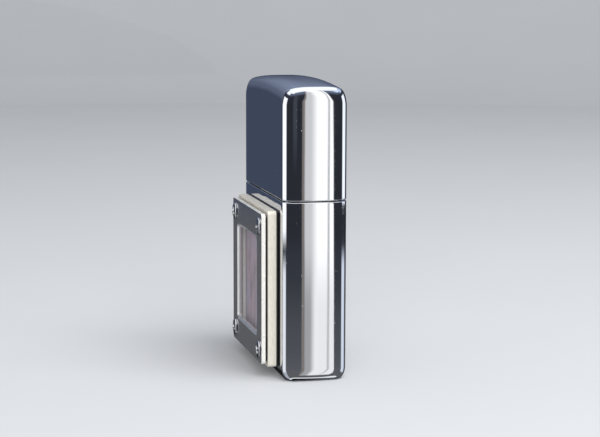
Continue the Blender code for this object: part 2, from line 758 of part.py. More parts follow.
def make_flint_wheel(material):
    """Thumb rims at both ends of a finer file-cut drum."""
    bore = RIVET_RADIUS + RUNNING_GAP
    rim = WHEEL_RADIUS
    half = WHEEL_HALF_WIDTH
    drum_half = WHEEL_DRUM_HALF_WIDTH
    right = [
        (WHEEL_DRUM_RADIUS, DRUM_TOOTH_DEPTH, drum_half - RIM_STEP),
        (rim, TOOTH_DEPTH, drum_half),
        (rim, TOOTH_DEPTH, half - RIM_CHAMFER),
        (rim - RIM_CHAMFER, TOOTH_DEPTH, half),
        (bore, 0, half),
    ]
    stations = [(radius, depth, -y) for radius, depth, y in right[::-1]] + right
    rings = [wheel_ring(*station) for station in stations]
    add("flint_wheel", skin(rings, closed=True), material, (WHEEL_X, 0, WHEEL_Z))


def make_rivet(name, radius, head_radius, shank_half, centre, material):
    """Rivet along Y with a head at each end."""
    head = RIVET_HEAD_HEIGHT
    crown = head_radius * RIVET_CROWN_SHARE
    profile = (
        (crown, -shank_half - head),
        (head_radius, -shank_half - head / 2),
        (head_radius, -shank_half),
        (radius, -shank_half),
        (radius, shank_half),
        (head_radius, shank_half),
        (head_radius, shank_half + head / 2),
        (crown, shank_half + head),
    )
    add(name, turned_y(profile, centre, steps=FINE_ROUND), material)


def make_flint_feed(materials):
    tube = ((TUBE_RADIUS, TUBE_BOTTOM), (TUBE_RADIUS, TUBE_TOP),
            (TUBE_BORE, TUBE_TOP), (TUBE_BORE, TUBE_BOTTOM))
    add("flint_tube", turned_z(tube, WHEEL_X, closed=True), materials["brass"])

    flint_bottom = FLINT_TOP - FLINT_LENGTH
    flint = turned_z(((FLINT_RADIUS, flint_bottom), (FLINT_RADIUS, FLINT_TOP)), WHEEL_X)
    add("flint", flint, materials["flint"])

    tip_top = flint_bottom - FIT_GAP
    tip_bottom = tip_top - TIP_LENGTH
    tip = (
        (TIP_NOSE_RADIUS, tip_bottom),
        (FLINT_RADIUS, tip_bottom + TIP_TAPER),
        (FLINT_RADIUS, tip_top),
    )
    add("spring_tip", turned_z(tip, WHEEL_X), materials["brass"])
    make_flint_spring(
        SCREW_SHANK_TOP + SPRING_END_GAP, tip_bottom - SPRING_END_GAP, materials["steel"]
    )

    shank = TUBE_BORE - RUNNING_GAP
    head_top = TUBE_BOTTOM - SCREW_SEAT_GAP
    profile = (
        (SCREW_HEAD_RADIUS - SCREW_HEAD_CHAMFER, SCREW_HEAD_BOTTOM),
        (SCREW_HEAD_RADIUS, SCREW_HEAD_BOTTOM + SCREW_HEAD_CHAMFER),
        (SCREW_HEAD_RADIUS, head_top),
        (shank, head_top),
        (shank, SCREW_SHANK_TOP),
    )
    screw = add("flint_screw", turned_z(profile, WHEEL_X), materials["brass"])
    reach = SCREW_HEAD_RADIUS + OVERSHOOT
    slot = box(
        (WHEEL_X - reach, -SCREW_SLOT_HALF_WIDTH, SCREW_HEAD_BOTTOM - OVERSHOOT),
        (WHEEL_X + reach, SCREW_SLOT_HALF_WIDTH, SCREW_HEAD_BOTTOM + SCREW_SLOT_DEPTH),
    )
    combine(screw, "DIFFERENCE", "slot", slot)


def make_flint_spring(low, high, material):
    """Open coil; each ring of the wire stands square to the helix."""
    steps_per_turn = 8
    wire_sides = 5
    rings = []
    rise = (high - low) / (SPRING_TURNS * tau)
    lean = atan2(rise, SPRING_COIL_RADIUS)
    for step in range(SPRING_TURNS * steps_per_turn + 1):
        angle = tau * step / steps_per_turn
        outward = Vector((cos(angle), sin(angle), 0))
        along = Vector((-sin(angle) * cos(lean), cos(angle) * cos(lean), sin(lean)))
        upward = outward.cross(along)
        centre = Vector((WHEEL_X, 0, low + rise * angle)) + outward * SPRING_COIL_RADIUS
        rings.append([
            centre + (outward * cos(tau * k / wire_sides) + upward * sin(tau * k / wire_sides))
            * SPRING_WIRE_RADIUS
            for k in range(wire_sides)
        ])
    add("flint_spring", skin(rings), material)


# ---------------------------------------------------------------- cam

def cam_spring_points():
    """Underside of the leaf spring, from its riveted end to its free end."""
    seat = DECK_TOP + FIT_GAP
    lift = CAM_Z - CAM_HUB_RADIUS - FIT_GAP - CAM_SPRING_THICKNESS
    low = lift - CAM_SPRING_DROP
    return list(zip(CAM_SPRING_X, (seat, seat, low, lift, low)))


def make_cam(materials):
    """Hub round the rivet, and an arm up to the inside of the lid's hinge wall."""
    length = Vector(CAM_ARM).length
    arm = atan2(CAM_ARM[1], CAM_ARM[0])
    lean = atan2(CAM_HUB_RADIUS - CAM_TIP_RADIUS, length)
    outline = []
    for step in range(15):
        angle = arm + pi / 2 - lean + (pi + 2 * lean) * step / 14
        outline.append((CAM_X + CAM_HUB_RADIUS * cos(angle), CAM_Z + CAM_HUB_RADIUS * sin(angle)))
    for step in range(7):
        angle = arm - pi / 2 + lean + (pi - 2 * lean) * step / 6
        outline.append((CAM_X + CAM_ARM[0] + CAM_TIP_RADIUS * cos(angle),
                        CAM_Z + CAM_ARM[1] + CAM_TIP_RADIUS * sin(angle)))
    ends = (-CAM_HALF_THICKNESS, CAM_HALF_THICKNESS)
    cam = add("cam_lever", skin([along_y(outline, y) for y in ends]), materials["steel"],
              (CAM_X, 0, CAM_Z))
    bore = CAM_RIVET_RADIUS + RUNNING_GAP
    reach = CAM_HALF_THICKNESS + OVERSHOOT
    hole = turned_y(((bore, -reach), (bore, reach)), (CAM_X, CAM_Z), steps=FINE_ROUND)
    combine(cam, "DIFFERENCE", "bore", hole)

    shank_half = CAM_HALF_THICKNESS + EAR_GAP + CAM_EAR_THICKNESS + FIT_GAP
    make_rivet("cam_rivet", CAM_RIVET_RADIUS, CAM_RIVET_HEAD_RADIUS, shank_half, (CAM_X, CAM_Z),
               materials["steel"])


def make_cam_spring(material):
    """Leaf spring under the cam's hub, and the rivet that holds it to the deck."""
    leaf = strip(cam_spring_points(), CAM_SPRING_HALF_WIDTH, CAM_SPRING_THICKNESS)
    spring = add("cam_spring", leaf, material)
    rivet_hole = post(
        SPRING_RIVET_RADIUS + FIT_GAP, SPRING_RIVET_X, DECK_TOP - OVERSHOOT, DECK_TOP + OVERSHOOT
    )
    combine(spring, "DIFFERENCE", "rivet_hole", rivet_hole)
    seat = DECK_TOP + FIT_GAP + CAM_SPRING_THICKNESS + FIT_GAP
    profile = (
        (SPRING_RIVET_RADIUS, DECK_Z - SPRING_RIVET_TAIL),
        (SPRING_RIVET_RADIUS, seat),
        (SPRING_RIVET_HEAD_RADIUS, seat),
        (SPRING_RIVET_HEAD_RADIUS, seat + SPRING_RIVET_HEAD[0]),
        (SPRING_RIVET_RADIUS, seat + SPRING_RIVET_HEAD[1]),
    )
    rivet = turned_z(profile, SPRING_RIVET_X, steps=COARSE_ROUND)
    add("cam_spring_rivet", rivet, material)


def clear_scene():
    for thing in list(bpy.data.objects):
        bpy.data.objects.remove(thing, do_unlink=True)


def main():
    clear_scene()
    materials = make_materials()
    make_case_bottom(materials["chrome"])
    make_case_lid(materials["chrome"])
    make_hinge(materials)
    make_plaque(materials)
    make_tank(materials["steel"])
    make_deck(materials["steel"])
    make_windguard(materials["steel"])
    make_fuel_parts(materials)
    make_flint_wheel(materials["tool_steel"])
    shank_half = GUARD_HALF_THICKNESS + FIT_GAP
    make_rivet("wheel_rivet", RIVET_RADIUS, RIVET_HEAD_RADIUS, shank_half, (WHEEL_X, WHEEL_Z),
               materials["steel"])
    make_flint_feed(materials)
    make_cam(materials)
    make_cam_spring(materials["steel"])


main()
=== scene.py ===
import json
from math import asin, atan2, copysign, cos, degrees, pi, radians, sin, sqrt, tan, tau

import bmesh
import bpy
from mathutils import Matrix, Vector, noise


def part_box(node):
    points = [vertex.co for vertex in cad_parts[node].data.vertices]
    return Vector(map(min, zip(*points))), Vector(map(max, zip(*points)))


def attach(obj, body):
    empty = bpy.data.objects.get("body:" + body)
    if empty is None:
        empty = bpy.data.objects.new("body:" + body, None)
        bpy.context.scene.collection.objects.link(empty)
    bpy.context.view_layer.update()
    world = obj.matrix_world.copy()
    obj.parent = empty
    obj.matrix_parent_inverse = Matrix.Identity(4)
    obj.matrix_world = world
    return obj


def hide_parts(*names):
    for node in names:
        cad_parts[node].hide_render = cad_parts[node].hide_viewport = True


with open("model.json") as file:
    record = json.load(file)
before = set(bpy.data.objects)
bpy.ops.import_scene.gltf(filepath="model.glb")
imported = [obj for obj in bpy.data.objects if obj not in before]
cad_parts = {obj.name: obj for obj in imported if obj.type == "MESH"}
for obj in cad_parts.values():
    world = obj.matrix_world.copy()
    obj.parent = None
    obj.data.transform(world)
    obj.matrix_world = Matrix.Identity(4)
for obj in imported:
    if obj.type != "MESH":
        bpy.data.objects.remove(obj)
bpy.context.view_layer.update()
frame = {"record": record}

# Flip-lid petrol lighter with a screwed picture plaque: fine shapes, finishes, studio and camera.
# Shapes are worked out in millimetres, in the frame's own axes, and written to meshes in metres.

MM = 0.001
MM_IN_METRE = 1000

# Case shells. An edge is rounded as an ellipse: how far it goes in, and its height.
CORNER_RADIUS = 2.6
SIDE_BULGE = 0.45
WALL = 0.65
FLOOR = 0.8
RIM_RADIUS = 0.2
RIM_INNER_RADIUS = 0.1
RIM_FLAT = 1.5 * RIM_RADIUS
BASE_EDGE = (1.2, 2.4)
BASE_INNER_EDGE = (0.65, 0.65)
TOP_EDGE = (1.1, 2.5)
TOP_INNER_EDGE = (0.6, 2.0)
CROWN_ACROSS = 1.5
CROWN_ACROSS_POWER = 3.6
CROWN_ALONG = 0.95
CROWN_BLEND = 6.0
CROWN_MIDDLE = 0.12
BASE_MARGIN = 1.5
NOTCH_HALF_HEIGHT = 1.35
NOTCH_HALF_LENGTH = 4.75
CASE_CORNER_STEPS = 24
CASE_SIDE_STEPS = 14
CASE_FACE_STEPS = 24

# Corner radii of the plaque's plates and of its pocket, and the radius of its screw holes.
PLATE_CORNER = 0.7
POCKET_CORNER = 0.3
SCREW_HOLE = 0.9

# Gap between seated pieces, and how far a cutter runs past the piece that it cuts.
SEAT_GAP = 0.05
CUT = 1

# Camera: where it stands round the lighter, and how it is turned.
LENS = 105.0
SENSOR_WIDTH = 36.0
CAMERA_AZIMUTH = 76.6456
CAMERA_DISTANCE = 345.736
CAMERA_HEIGHT = 77.585
CAMERA_YAW = -0.1978
CAMERA_PITCH = 8.0178
CAMERA_ROLL = 0.151

BODY_OF = {
    node: body for body, nodes in frame["record"]["behaviour"]["bodies"].items() for node in nodes
}
SLOT_OF = {part["node"]: part["material_slot"] for part in frame["record"]["subparts"]}


def span(node):
    """Lowest and highest corner of a CAD node, in millimetres."""
    low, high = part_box(node)
    return low / MM, high / MM


def centre_of(node):
    low, high = span(node)
    return (low + high) / 2


# ---- outlines

def rounded_rectangle(half_u, half_v, radius, bulge=0.0, corner=12, side=10, face=4):
    """Closed outline in (u, v); the ends at +-u bow outwards by the bulge."""
    radius = max(radius, 0.05)
    flat_u = half_u - bulge - radius
    flat_v = half_v - radius
    corners = []
    for quarter, (su, sv) in enumerate(((1, 1), (-1, 1), (-1, -1), (1, -1))):
        for step in range(corner + 1):
            angle = (quarter + step / corner) * pi / 2
            corners.append((su * flat_u + radius * cos(angle), sv * flat_v + radius * sin(angle)))
    outline = []
    for i, start in enumerate(corners):
        end = corners[(i + 1) % len(corners)]
        outline.append(start)
        if (i + 1) % (corner + 1) == 0:
            steps = face if (i + 1) // (corner + 1) % 2 else side
            for step in range(1, steps):
                t = step / steps
                outline.append(tuple(a + (b - a) * t for a, b in zip(start, end)))
    return [(u + copysign(bulge * (1 - (v / half_v) ** 2), u), v) for u, v in outline]


def circle(radius, steps):
    return [(radius * cos(tau * i / steps), radius * sin(tau * i / steps)) for i in range(steps)]


def along_y(outline, y, centre=(0, 0)):
    return [(centre[0] + u, y, centre[1] + v) for u, v in outline]


def along_z(outline, z, centre=(0, 0)):
    return [(centre[0] + u, centre[1] + v, z) for u, v in outline]


def fillet(points, radius, steps=3, closed=False):
    """Round the corners of a polyline in the plane; short runs get a smaller radius."""
    count = len(points)
    rounded = []
    for i, point in enumerate(points):
        if not closed and i in (0, count - 1):
            rounded.append(point)
            continue
        corner = Vector(point)
        back = Vector(points[i - 1]) - corner
        ahead = Vector(points[(i + 1) % count]) - corner
        half = back.angle(ahead) / 2
        if half > radians(85):
            rounded.append(point)
            continue
        reach = min(radius / tan(half), 0.45 * back.length, 0.45 * ahead.length)
        arc = reach * tan(half)
        middle = (back.normalized() + ahead.normalized()).normalized()
        centre = corner + middle * arc / sin(half)
        start = corner + back.normalized() * reach - centre
        turn = start.angle_signed(corner + ahead.normalized() * reach - centre)
        for step in range(steps + 1):
            spoke = start.copy()
            spoke.rotate(Matrix.Rotation(-turn * step / steps, 2))
            rounded.append(tuple(centre + spoke))
    return rounded


def edge_arc(size, z, upward, steps=6, inset=0.0):
    """Stations (inset, z) round an edge, from the flat face at z to the upright wall."""
    reach, height = size
    stations = []
    for step in range(steps + 1):
        angle = step / steps * pi / 2
        stations.append((inset + reach * (1 - sin(angle)), z + upward * height * (1 - cos(angle))))
    return stations


# ---- meshes

def skin(rings, closed=False, gap=None, domed=False, open_top=False):
    """Skin a stack of equal rings; its ends are capped, or joined when closed.

    gap = (first ring, last ring, first column, last column) leaves a slot through both walls of
    a folded shell, with a wall of its own all round. Domed caps are for rings that aren't flat.
    """
    mesh = bmesh.new()
    loops = [[mesh.verts.new(Vector(point) * MM) for point in ring] for ring in rings]
    pairs = [(i, i + 1) for i in range(len(loops) - 1)]
    if closed:
        pairs.append((len(loops) - 1, 0))
    elif domed:
        cap_across(mesh, loops[0])
        cap_across(mesh, loops[-1])
    else:
        for loop in loops[:1] if open_top else (loops[0], loops[-1]):
            mesh.faces.new(loop)
    columns = len(rings[0])
    for low, high in pairs:
        for i in range(columns):
            j = (i + 1) % columns
            if gap and gap[0] <= low < gap[1] and gap[2] <= i < gap[3]:
                continue
            mesh.faces.new((loops[low][i], loops[low][j], loops[high][j], loops[high][i]))
    if gap:
        first, last, left, right = gap
        outer, inner = loops[first], loops[last]
        for i in range(left, right):
            mesh.faces.new((outer[i], outer[i + 1], inner[i + 1], inner[i]))
        for column in (left, right):
            mesh.faces.new([loops[ring][column] for ring in range(first, last + 1)])
    bmesh.ops.recalc_face_normals(mesh, faces=mesh.faces)
    return mesh


def cap_across(mesh, loop):
    """Close a case ring with faces that run straight across it in Y."""
    last = len(loop) - CASE_SIDE_STEPS
    left = (last - CASE_SIDE_STEPS) // 2
    for i in range(left):
        mesh.faces.new((loop[i], loop[i + 1], loop[last - i - 1], loop[last - i]))
    mesh.faces.new(loop[left:left + CASE_SIDE_STEPS + 1])
    mesh.faces.new(loop[last:] + [loop[0]])


def add(name, mesh, sharp=35):
    """Object from a finished mesh, smooth except at its sharp edges."""
    data = bpy.data.meshes.new(name)
    mesh.to_mesh(data)
    mesh.free()
    thing = bpy.data.objects.new(name, data)
    bpy.context.scene.collection.objects.link(thing)
    smooth(thing, sharp)
    return thing


def smooth(thing, sharp):
    thing.data.shade_smooth()
    thing.data.set_sharp_from_angle(angle=radians(sharp))


def settle(thing, sharp=35):
    """Apply every modifier, and shade the result."""
    graph = bpy.context.evaluated_depsgraph_get()
    data = bpy.data.meshes.new_from_object(thing.evaluated_get(graph), depsgraph=graph)
    thing.modifiers.clear()
    thing.data = data
    smooth(thing, sharp)


def carve(thing, cutters, operation="DIFFERENCE", sharp=35, bevel=0.0):
    """Boolean each cutter mesh with the piece in turn, then round the new edges."""
    for mesh in cutters:
        helper = add("cutter", mesh)
        modifier = thing.modifiers.new("cut", "BOOLEAN")
        modifier.operation = operation
        modifier.object = helper
        settle(thing, sharp)
        bpy.data.objects.remove(helper, do_unlink=True)
    if bevel:
        modifier = thing.modifiers.new("edges", "BEVEL")
        modifier.width = bevel * MM
        modifier.segments = 2
        modifier.limit_method = "ANGLE"
        modifier.angle_limit = radians(40)
        settle(thing, sharp)


def box(low, high):
    corners = ((low[0], low[1]), (high[0], low[1]), (high[0], high[1]), (low[0], high[1]))
    return skin([along_z(corners, low[2]), along_z(corners, high[2])])


def rod_y(radius, low, high, centre, steps=32):
    return skin([along_y(circle(radius, steps), y, centre) for y in (low, high)])


def rod_z(radius, low, high, x, steps=32):
    return skin([along_z(circle(radius, steps), z, (x, 0)) for z in (low, high)])


def turned(profile, centre, upright, closed=False, steps=40, round_off=0.08):
    """Turned piece: (radius, height) stations about an upright line, or one along Y."""
    along = along_z if upright else along_y
    stations = fillet(profile, round_off, closed=closed)
    return skin([along(circle(radius, steps), at, centre) for radius, at in stations], closed)


def place(thing, node):
    """The piece stands for a CAD node, on that node's body and in its finish."""
    thing.data.materials.append(FINISHES[SLOT_OF[node]])
    # Large flat faces keep their own direction next to a small round edge.
    modifier = thing.modifiers.new("weighted_normals", "WEIGHTED_NORMAL")
    modifier.mode = "FACE_AREA"
    modifier.weight = 50
    modifier.keep_sharp = True
    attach(thing, BODY_OF[node])
    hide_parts(node)


# ---- materials

# Most of a noise texture's values lie in this range.
NOISE_RANGE = (0.3, 0.7)


class Nodes:
    """Short ways to add nodes to a shader tree."""

    def __init__(self, tree):
        self.tree = tree

    def make(self, kind, output, sockets, **settings):
        """Output of a new node; each socket is linked, or set to a plain value."""
        made = self.tree.nodes.new("ShaderNode" + kind)
        for setting, value in settings.items():
            setattr(made, setting, value)
        for socket, value in sockets.items():
            if isinstance(value, bpy.types.NodeSocket):
                self.tree.links.new(value, made.inputs[socket])
            else:
                made.inputs[socket].default_value = value
        return made.outputs[output]

    def math(self, operation, first, second=0.0):
        return self.make("Math", 0, {0: first, 1: second}, operation=operation)

    def axis(self, vector, letter):
        return self.make("SeparateXYZ", letter, {0: vector})

    def ranged(self, value, from_low, from_high, to_low=0.0, to_high=1.0):
        sockets = {"Value": value, "From Min": from_low, "From Max": from_high,
                   "To Min": to_low, "To Max": to_high}
        return self.make("MapRange", "Result", sockets, interpolation_type="SMOOTHSTEP")

    def mixed(self, factor, first, second):
        first, second = ((*c, 1.0) if isinstance(c, tuple) else c for c in (first, second))
        return self.make("Mix", 2, {0: factor, 6: first, 7: second}, data_type="RGBA")


class Finish(Nodes):
    """A Principled material whose textures are laid out in millimetres."""

    def __init__(self, name, color, roughness, metallic=0.0, **sockets):
        self.material = bpy.data.materials.new(name)
        self.material.use_nodes = True
        super().__init__(self.material.node_tree)
        self.color = color
        self.roughness = roughness
        self.shader = self.tree.nodes["Principled BSDF"].inputs
        sockets.update(Base_Color=(*color, 1.0), Roughness=roughness, Metallic=metallic)
        for socket, value in sockets.items():
            self.shader[socket.replace("_", " ")].default_value = value
        self.spot = self.make("TexCoord", "Object", {})

    def stretched(self, scale):
        """Object coordinates, in millimetres, scaled along each axis."""
        scale = [MM_IN_METRE * s for s in scale]
        return self.make("Mapping", "Vector", {"Vector": self.spot, "Scale": scale})

    def noise(self, scale=(1, 1, 1), detail=3.0, roughness=0.5, distortion=0.0):
        return self.make("TexNoise", "Fac", {
            "Vector": self.stretched(scale), "Scale": 1.0, "Detail": detail,
            "Roughness": roughness, "Distortion": distortion})

    def specks(self, scale, size, share):
        """Mask of sparse round specks: one in some cells, each of about the given size."""
        sockets = {"Vector": self.stretched((scale, scale, scale)), "Scale": 1.0}
        distance = self.make("TexVoronoi", "Distance", sockets)
        near = self.ranged(distance, size * 0.5, size, 1.0, 0.0)
        cell = self.make("SeparateColor", "Red", {0: distance.node.outputs["Color"]})
        return self.math("MULTIPLY", near, self.ranged(cell, share, share + 0.01, 1.0, 0.0))

    def ramp(self, value, *stops):
        color = self.make("ValToRGB", "Color", {"Fac": value})
        elements = color.node.color_ramp.elements
        while len(elements) < len(stops):
            elements.new(0.5)
        for element, (position, stop) in zip(elements, stops):
            element.position = position
            element.color = (*stop, 1.0)
        return color

    def set(self, socket, value):
        self.tree.links.new(value, self.shader[socket])

    def bump(self, height, distance):
        """Relief of the given depth in millimetres."""
        sockets = {"Height": height, "Distance": distance * MM}
        self.set("Normal", self.make("Bump", "Normal", sockets))

    def vary_roughness(self, value, amount):
        low, high = self.roughness - amount, self.roughness + amount
        self.set("Roughness", self.ranged(value, *NOISE_RANGE, low, high))

    def vary_color(self, value, low, high):
        stops = ([c * share for c in self.color] for share in (low, high))
        self.set("Base Color", self.ramp(value, *zip(NOISE_RANGE, stops)))


def chrome(name, color, dust=0.06):
    """Mirror plate: a slow waviness, fine wipe marks, and a few specks of dust."""
    made = Finish(name, color, 0.03, 1.0)
    wipe = made.noise((0.5, 0.5, 3.0), 4.0)
    dusty = made.math("MAXIMUM", made.specks(0.9, 0.10, dust), made.specks(2.6, 0.12, dust * 0.7))
    dull = made.math("MULTIPLY", dusty, 0.35)
    made.set("Roughness", made.math("ADD", made.ranged(wipe, 0.35, 0.75, 0.022, 0.05), dull))
    made.set("Base Color", made.mixed(dusty, color, (0.62, 0.64, 0.68)))
    made.set("Metallic", made.math("SUBTRACT", 1.0, dull))
    made.bump(made.noise((0.10, 0.10, 0.05), 1.0), 0.010)
    return made.material


def brushed(name, color, roughness, scale, depth=0.004):
    """Metal with fine drawn lines; scale is lines per millimetre along each axis."""
    made = Finish(name, color, roughness, 1.0)
    lines = made.noise(scale, 3.0, 0.65)
    cloud = made.noise((0.3, 0.3, 0.3), 3.0)
    made.vary_roughness(lines, roughness * 0.25)
    made.vary_color(made.math("ADD", made.math("MULTIPLY", lines, 0.7),
                              made.math("MULTIPLY", cloud, 0.3)), 0.84, 1.04)
    made.bump(lines, depth)
    return made.material


def plate_nickel():
    """Front frame: polished grey face, and matt bright edges where the surface turns."""
    made = Finish("plate_nickel", (0.62, 0.63, 0.64), 0.17, 1.0)
    lines = made.noise((2.5, 9.0, 0.6), 3.0, 0.6)
    facing = made.axis(made.make("TexCoord", "Normal", {}), "Y")
    turning = made.ranged(made.math("ABSOLUTE", facing), 0.80, 0.98, 1.0, 0.0)
    middle = centre_of("plaque_frame").z * MM
    above = made.math("SUBTRACT", made.axis(made.spot, "Z"), middle)
    beside = made.ranged(made.math("ABSOLUTE", made.axis(made.spot, "X")), 0.010, 0.012, 0.35)
    beyond = made.ranged(made.math("ABSOLUTE", above), 0.0108, 0.0126, 0.35)
    edge = made.math("MULTIPLY", turning, made.math("MAXIMUM", beside, beyond))
    face_color = made.ramp(lines, (0.3, (0.62, 0.625, 0.63)), (0.7, (0.72, 0.725, 0.73)))
    edge_color = made.ramp(lines, (0.3, (0.84, 0.82, 0.77)), (0.7, (0.96, 0.94, 0.89)))
    made.set("Base Color", made.mixed(edge, face_color, edge_color))
    made.set("Metallic", made.math("SUBTRACT", 0.94, made.math("MULTIPLY", edge, 0.64)))
    smudge = made.ranged(made.noise((0.25, 0.25, 0.25), 4.0), 0.4, 0.7, 0.14, 0.24)
    made.set("Roughness", made.math("ADD", smudge, made.math("MULTIPLY", edge, 0.12)))
    made.bump(lines, 0.001)
    return made.material


def satin_nickel():
    """Pale satin back plate; a dark band along its back edge is painted shade where the plate meets
    the case.
    """
    made = Finish("satin_nickel_plate", (0.90, 0.88, 0.83), 0.42, 0.35)
    lines = made.noise((7, 7, 0.9), 3.0, 0.6)
    made.vary_roughness(lines, 0.06)
    metal = made.ramp(lines, (0.3, (0.80, 0.75, 0.65)), (0.7, (0.97, 0.92, 0.81)))
    back = span("plaque_base")[1].y
    # Painted shade: a dark band on the last few tenths of a millimetre before the back face stands
    # for the shade in the gap between the plate and the case.
    painted_gap_shade = made.ranged(made.axis(made.spot, "Y"), (back - 0.40) * MM, (back - 0.32) * MM)
    made.set("Base Color", made.mixed(painted_gap_shade, metal, (0.02, 0.02, 0.022)))
    made.set("Metallic", made.math("MULTIPLY", made.math("SUBTRACT", 1.0, painted_gap_shade), 0.35))
    made.bump(lines, 0.002)
    return made.material


def print_wash():
    """Abstract wash of muted mauve, rose and slate, with paper tooth."""
    made = Finish("print_wash", (0.40, 0.31, 0.37), 0.5)
    flow = made.noise((0.16, 0.16, 0.07), 4.0, 0.55, 0.8)
    second = made.noise((0.35, 0.35, 0.12), 3.0, 0.5)
    blend = made.math("ADD", made.math("MULTIPLY", flow, 0.7), made.math("MULTIPLY", second, 0.3))
    made.set("Base Color", made.ramp(
        blend,
        (0.30, (0.10, 0.075, 0.12)),
        (0.42, (0.23, 0.135, 0.185)),
        (0.50, (0.40, 0.245, 0.30)),
        (0.58, (0.32, 0.26, 0.39)),
        (0.72, (0.58, 0.50, 0.53)),
    ))
    made.bump(made.noise((12, 12, 12), 2.0), 0.004)
    return made.material


def window_clear():
    """Thin clear cover, seen mostly by its shine."""
    made = Finish("window_clear", (0.80, 0.83, 0.87), 0.03, Alpha=0.16, IOR=1.49)
    made.set("Roughness", made.ranged(made.noise((0.4, 0.4, 0.4), 4.0), 0.35, 0.75, 0.02, 0.08))
    made.bump(made.noise((0.12, 0.12, 0.12), 1.0), 0.004)
    return made.material


def rubber(name, color):
    made = Finish(name, color, 0.7)
    grain = made.noise((8, 8, 8), 3.0)
    made.vary_color(grain, 0.7, 1.5)
    made.bump(grain, 0.01)
    return made.material


def fibre(name, color, scale, depth):
    """Matted or spun fibre."""
    made = Finish(name, color, 0.92, Sheen_Weight=0.4, Sheen_Roughness=0.5)
    hairs = made.noise(scale, 6.0, 0.7, 0.6)
    made.vary_color(hairs, 0.72, 1.15)
    made.bump(hairs, depth)
    return made.material


def wick_fibre():
    """Braided cord, singed at its free end."""
    made = Finish("wick_fibre", (0.78, 0.73, 0.62), 0.9, Sheen_Weight=0.3)
    hairs = made.noise((5, 5, 2), 5.0, 0.7)
    top = span("wick")[1].z
    singe = made.ranged(made.axis(made.spot, "Z"), (top - 2.2) * MM, (top - 0.3) * MM)
    thread = made.ramp(hairs, (0.3, (0.52, 0.47, 0.38)), (0.7, (0.80, 0.76, 0.66)))
    made.set("Base Color", made.mixed(singe, thread, (0.045, 0.04, 0.038)))
    made.bump(hairs, 0.03)
    return made.material


def cast(name, color, roughness, metallic):
    """Sintered or file-hard metal: mottled and slightly pitted."""
    made = Finish(name, color, roughness, metallic)
    mottle = made.noise((2.5, 2.5, 2.5), 5.0, 0.65)
    made.vary_color(mottle, 0.65, 1.35)
    made.vary_roughness(mottle, 0.12)
    made.bump(mottle, 0.015)
    return made.material


FINISHES = {
    "chrome_case": chrome("chrome_plate", (0.86, 0.87, 0.90)),
    "chrome_hinge": chrome("chrome_hinge_plate", (0.80, 0.81, 0.84), 0.03),
    "brushed_nickel": satin_nickel(),
    "polished_nickel": plate_nickel(),
    "screw_steel": brushed("screw_polish", (0.86, 0.86, 0.88), 0.13, (1.5, 1.5, 1.5), 0.001),
    "black_gasket": rubber("gasket_sheet", (0.012, 0.012, 0.013)),
    "printed_card": print_wash(),
    "clear_window": window_clear(),
    "steel": brushed("turned_steel", (0.62, 0.62, 0.64), 0.22, (1.2, 8, 1.2), 0.002),
    "satin_steel": brushed("satin_sheet", (0.66, 0.66, 0.67), 0.26, (6, 6, 0.5), 0.003),
    "brass": brushed("turned_brass", (0.80, 0.60, 0.28), 0.25, (1.0, 1.0, 7), 0.003),
    "wheel_steel": cast("file_steel", (0.34, 0.33, 0.33), 0.36, 1.0),
    "flint_alloy": cast("flint_alloy_stick", (0.20, 0.185, 0.175), 0.6, 0.6),
    "felt": fibre("wool_felt", (0.50, 0.48, 0.45), (3, 3, 3), 0.08),
    "cotton": fibre("cotton_wool", (0.86, 0.85, 0.82), (1.2, 1.2, 1.2), 0.25),
    "wick_cord": wick_fibre(),
}


# ---- case

def case_ring(inset, z, crown=0.0):
    """Ring of the case's plan outline, moved in by the inset; the crown lowers it off centre."""
    high = span("case_bottom")[1]
    radius = max(CORNER_RADIUS - inset, 0.05)
    outline = rounded_rectangle(high.x - inset, high.y - inset, radius, SIDE_BULGE,
                                CASE_CORNER_STEPS, CASE_SIDE_STEPS, CASE_FACE_STEPS)
    ring = []
    for x, y in outline:
        across = CROWN_ACROSS * abs(y / high.y) ** CROWN_ACROSS_POWER
        along = CROWN_ALONG * (x / high.x) ** 2
        ring.append((x, y, z - crown * (across + along)))
    return ring


def notch_columns(ring):
    """First and last column of the hinge notch, on the -X side."""
    inside = [i for i, (x, y, _) in enumerate(ring) if x < 0 and abs(y) < NOTCH_HALF_LENGTH]
    return inside[0] - 1, inside[-1] + 1


def rim_stations(rim, upward):
    """Round the rim of a shell from its outer wall to its inner wall."""
    outer = edge_arc((RIM_RADIUS, RIM_RADIUS), rim, upward, 5)[::-1]
    inner = edge_arc((RIM_INNER_RADIUS, RIM_INNER_RADIUS), rim, upward, 3)
    flat = rim + upward * RIM_FLAT
    return [(0, flat)] + outer + [(WALL - inset, z) for inset, z in inner] + [(WALL, flat)]


def make_case_bottom():
    rim = span("case_bottom")[1].z
    notch = hinge_axis()[1] - NOTCH_HALF_HEIGHT
    outside = [(BASE_EDGE[0] + BASE_MARGIN, 0)] + edge_arc(BASE_EDGE, 0, 1, 16)
    outside += [(0, rim / 3), (0, rim * 2 / 3), (0, notch)]
    turn = rim_stations(rim, -1)
    inside = edge_arc(BASE_INNER_EDGE, FLOOR, 1, 4, WALL)[::-1]
    rings = [case_ring(*station) for station in outside + turn + [(WALL, notch)] + inside]
    gap = (len(outside) - 1, len(outside) + len(turn), *notch_columns(case_ring(0, notch)))
    place(add("bottom_shell", skin(rings, gap=gap)), "case_bottom")


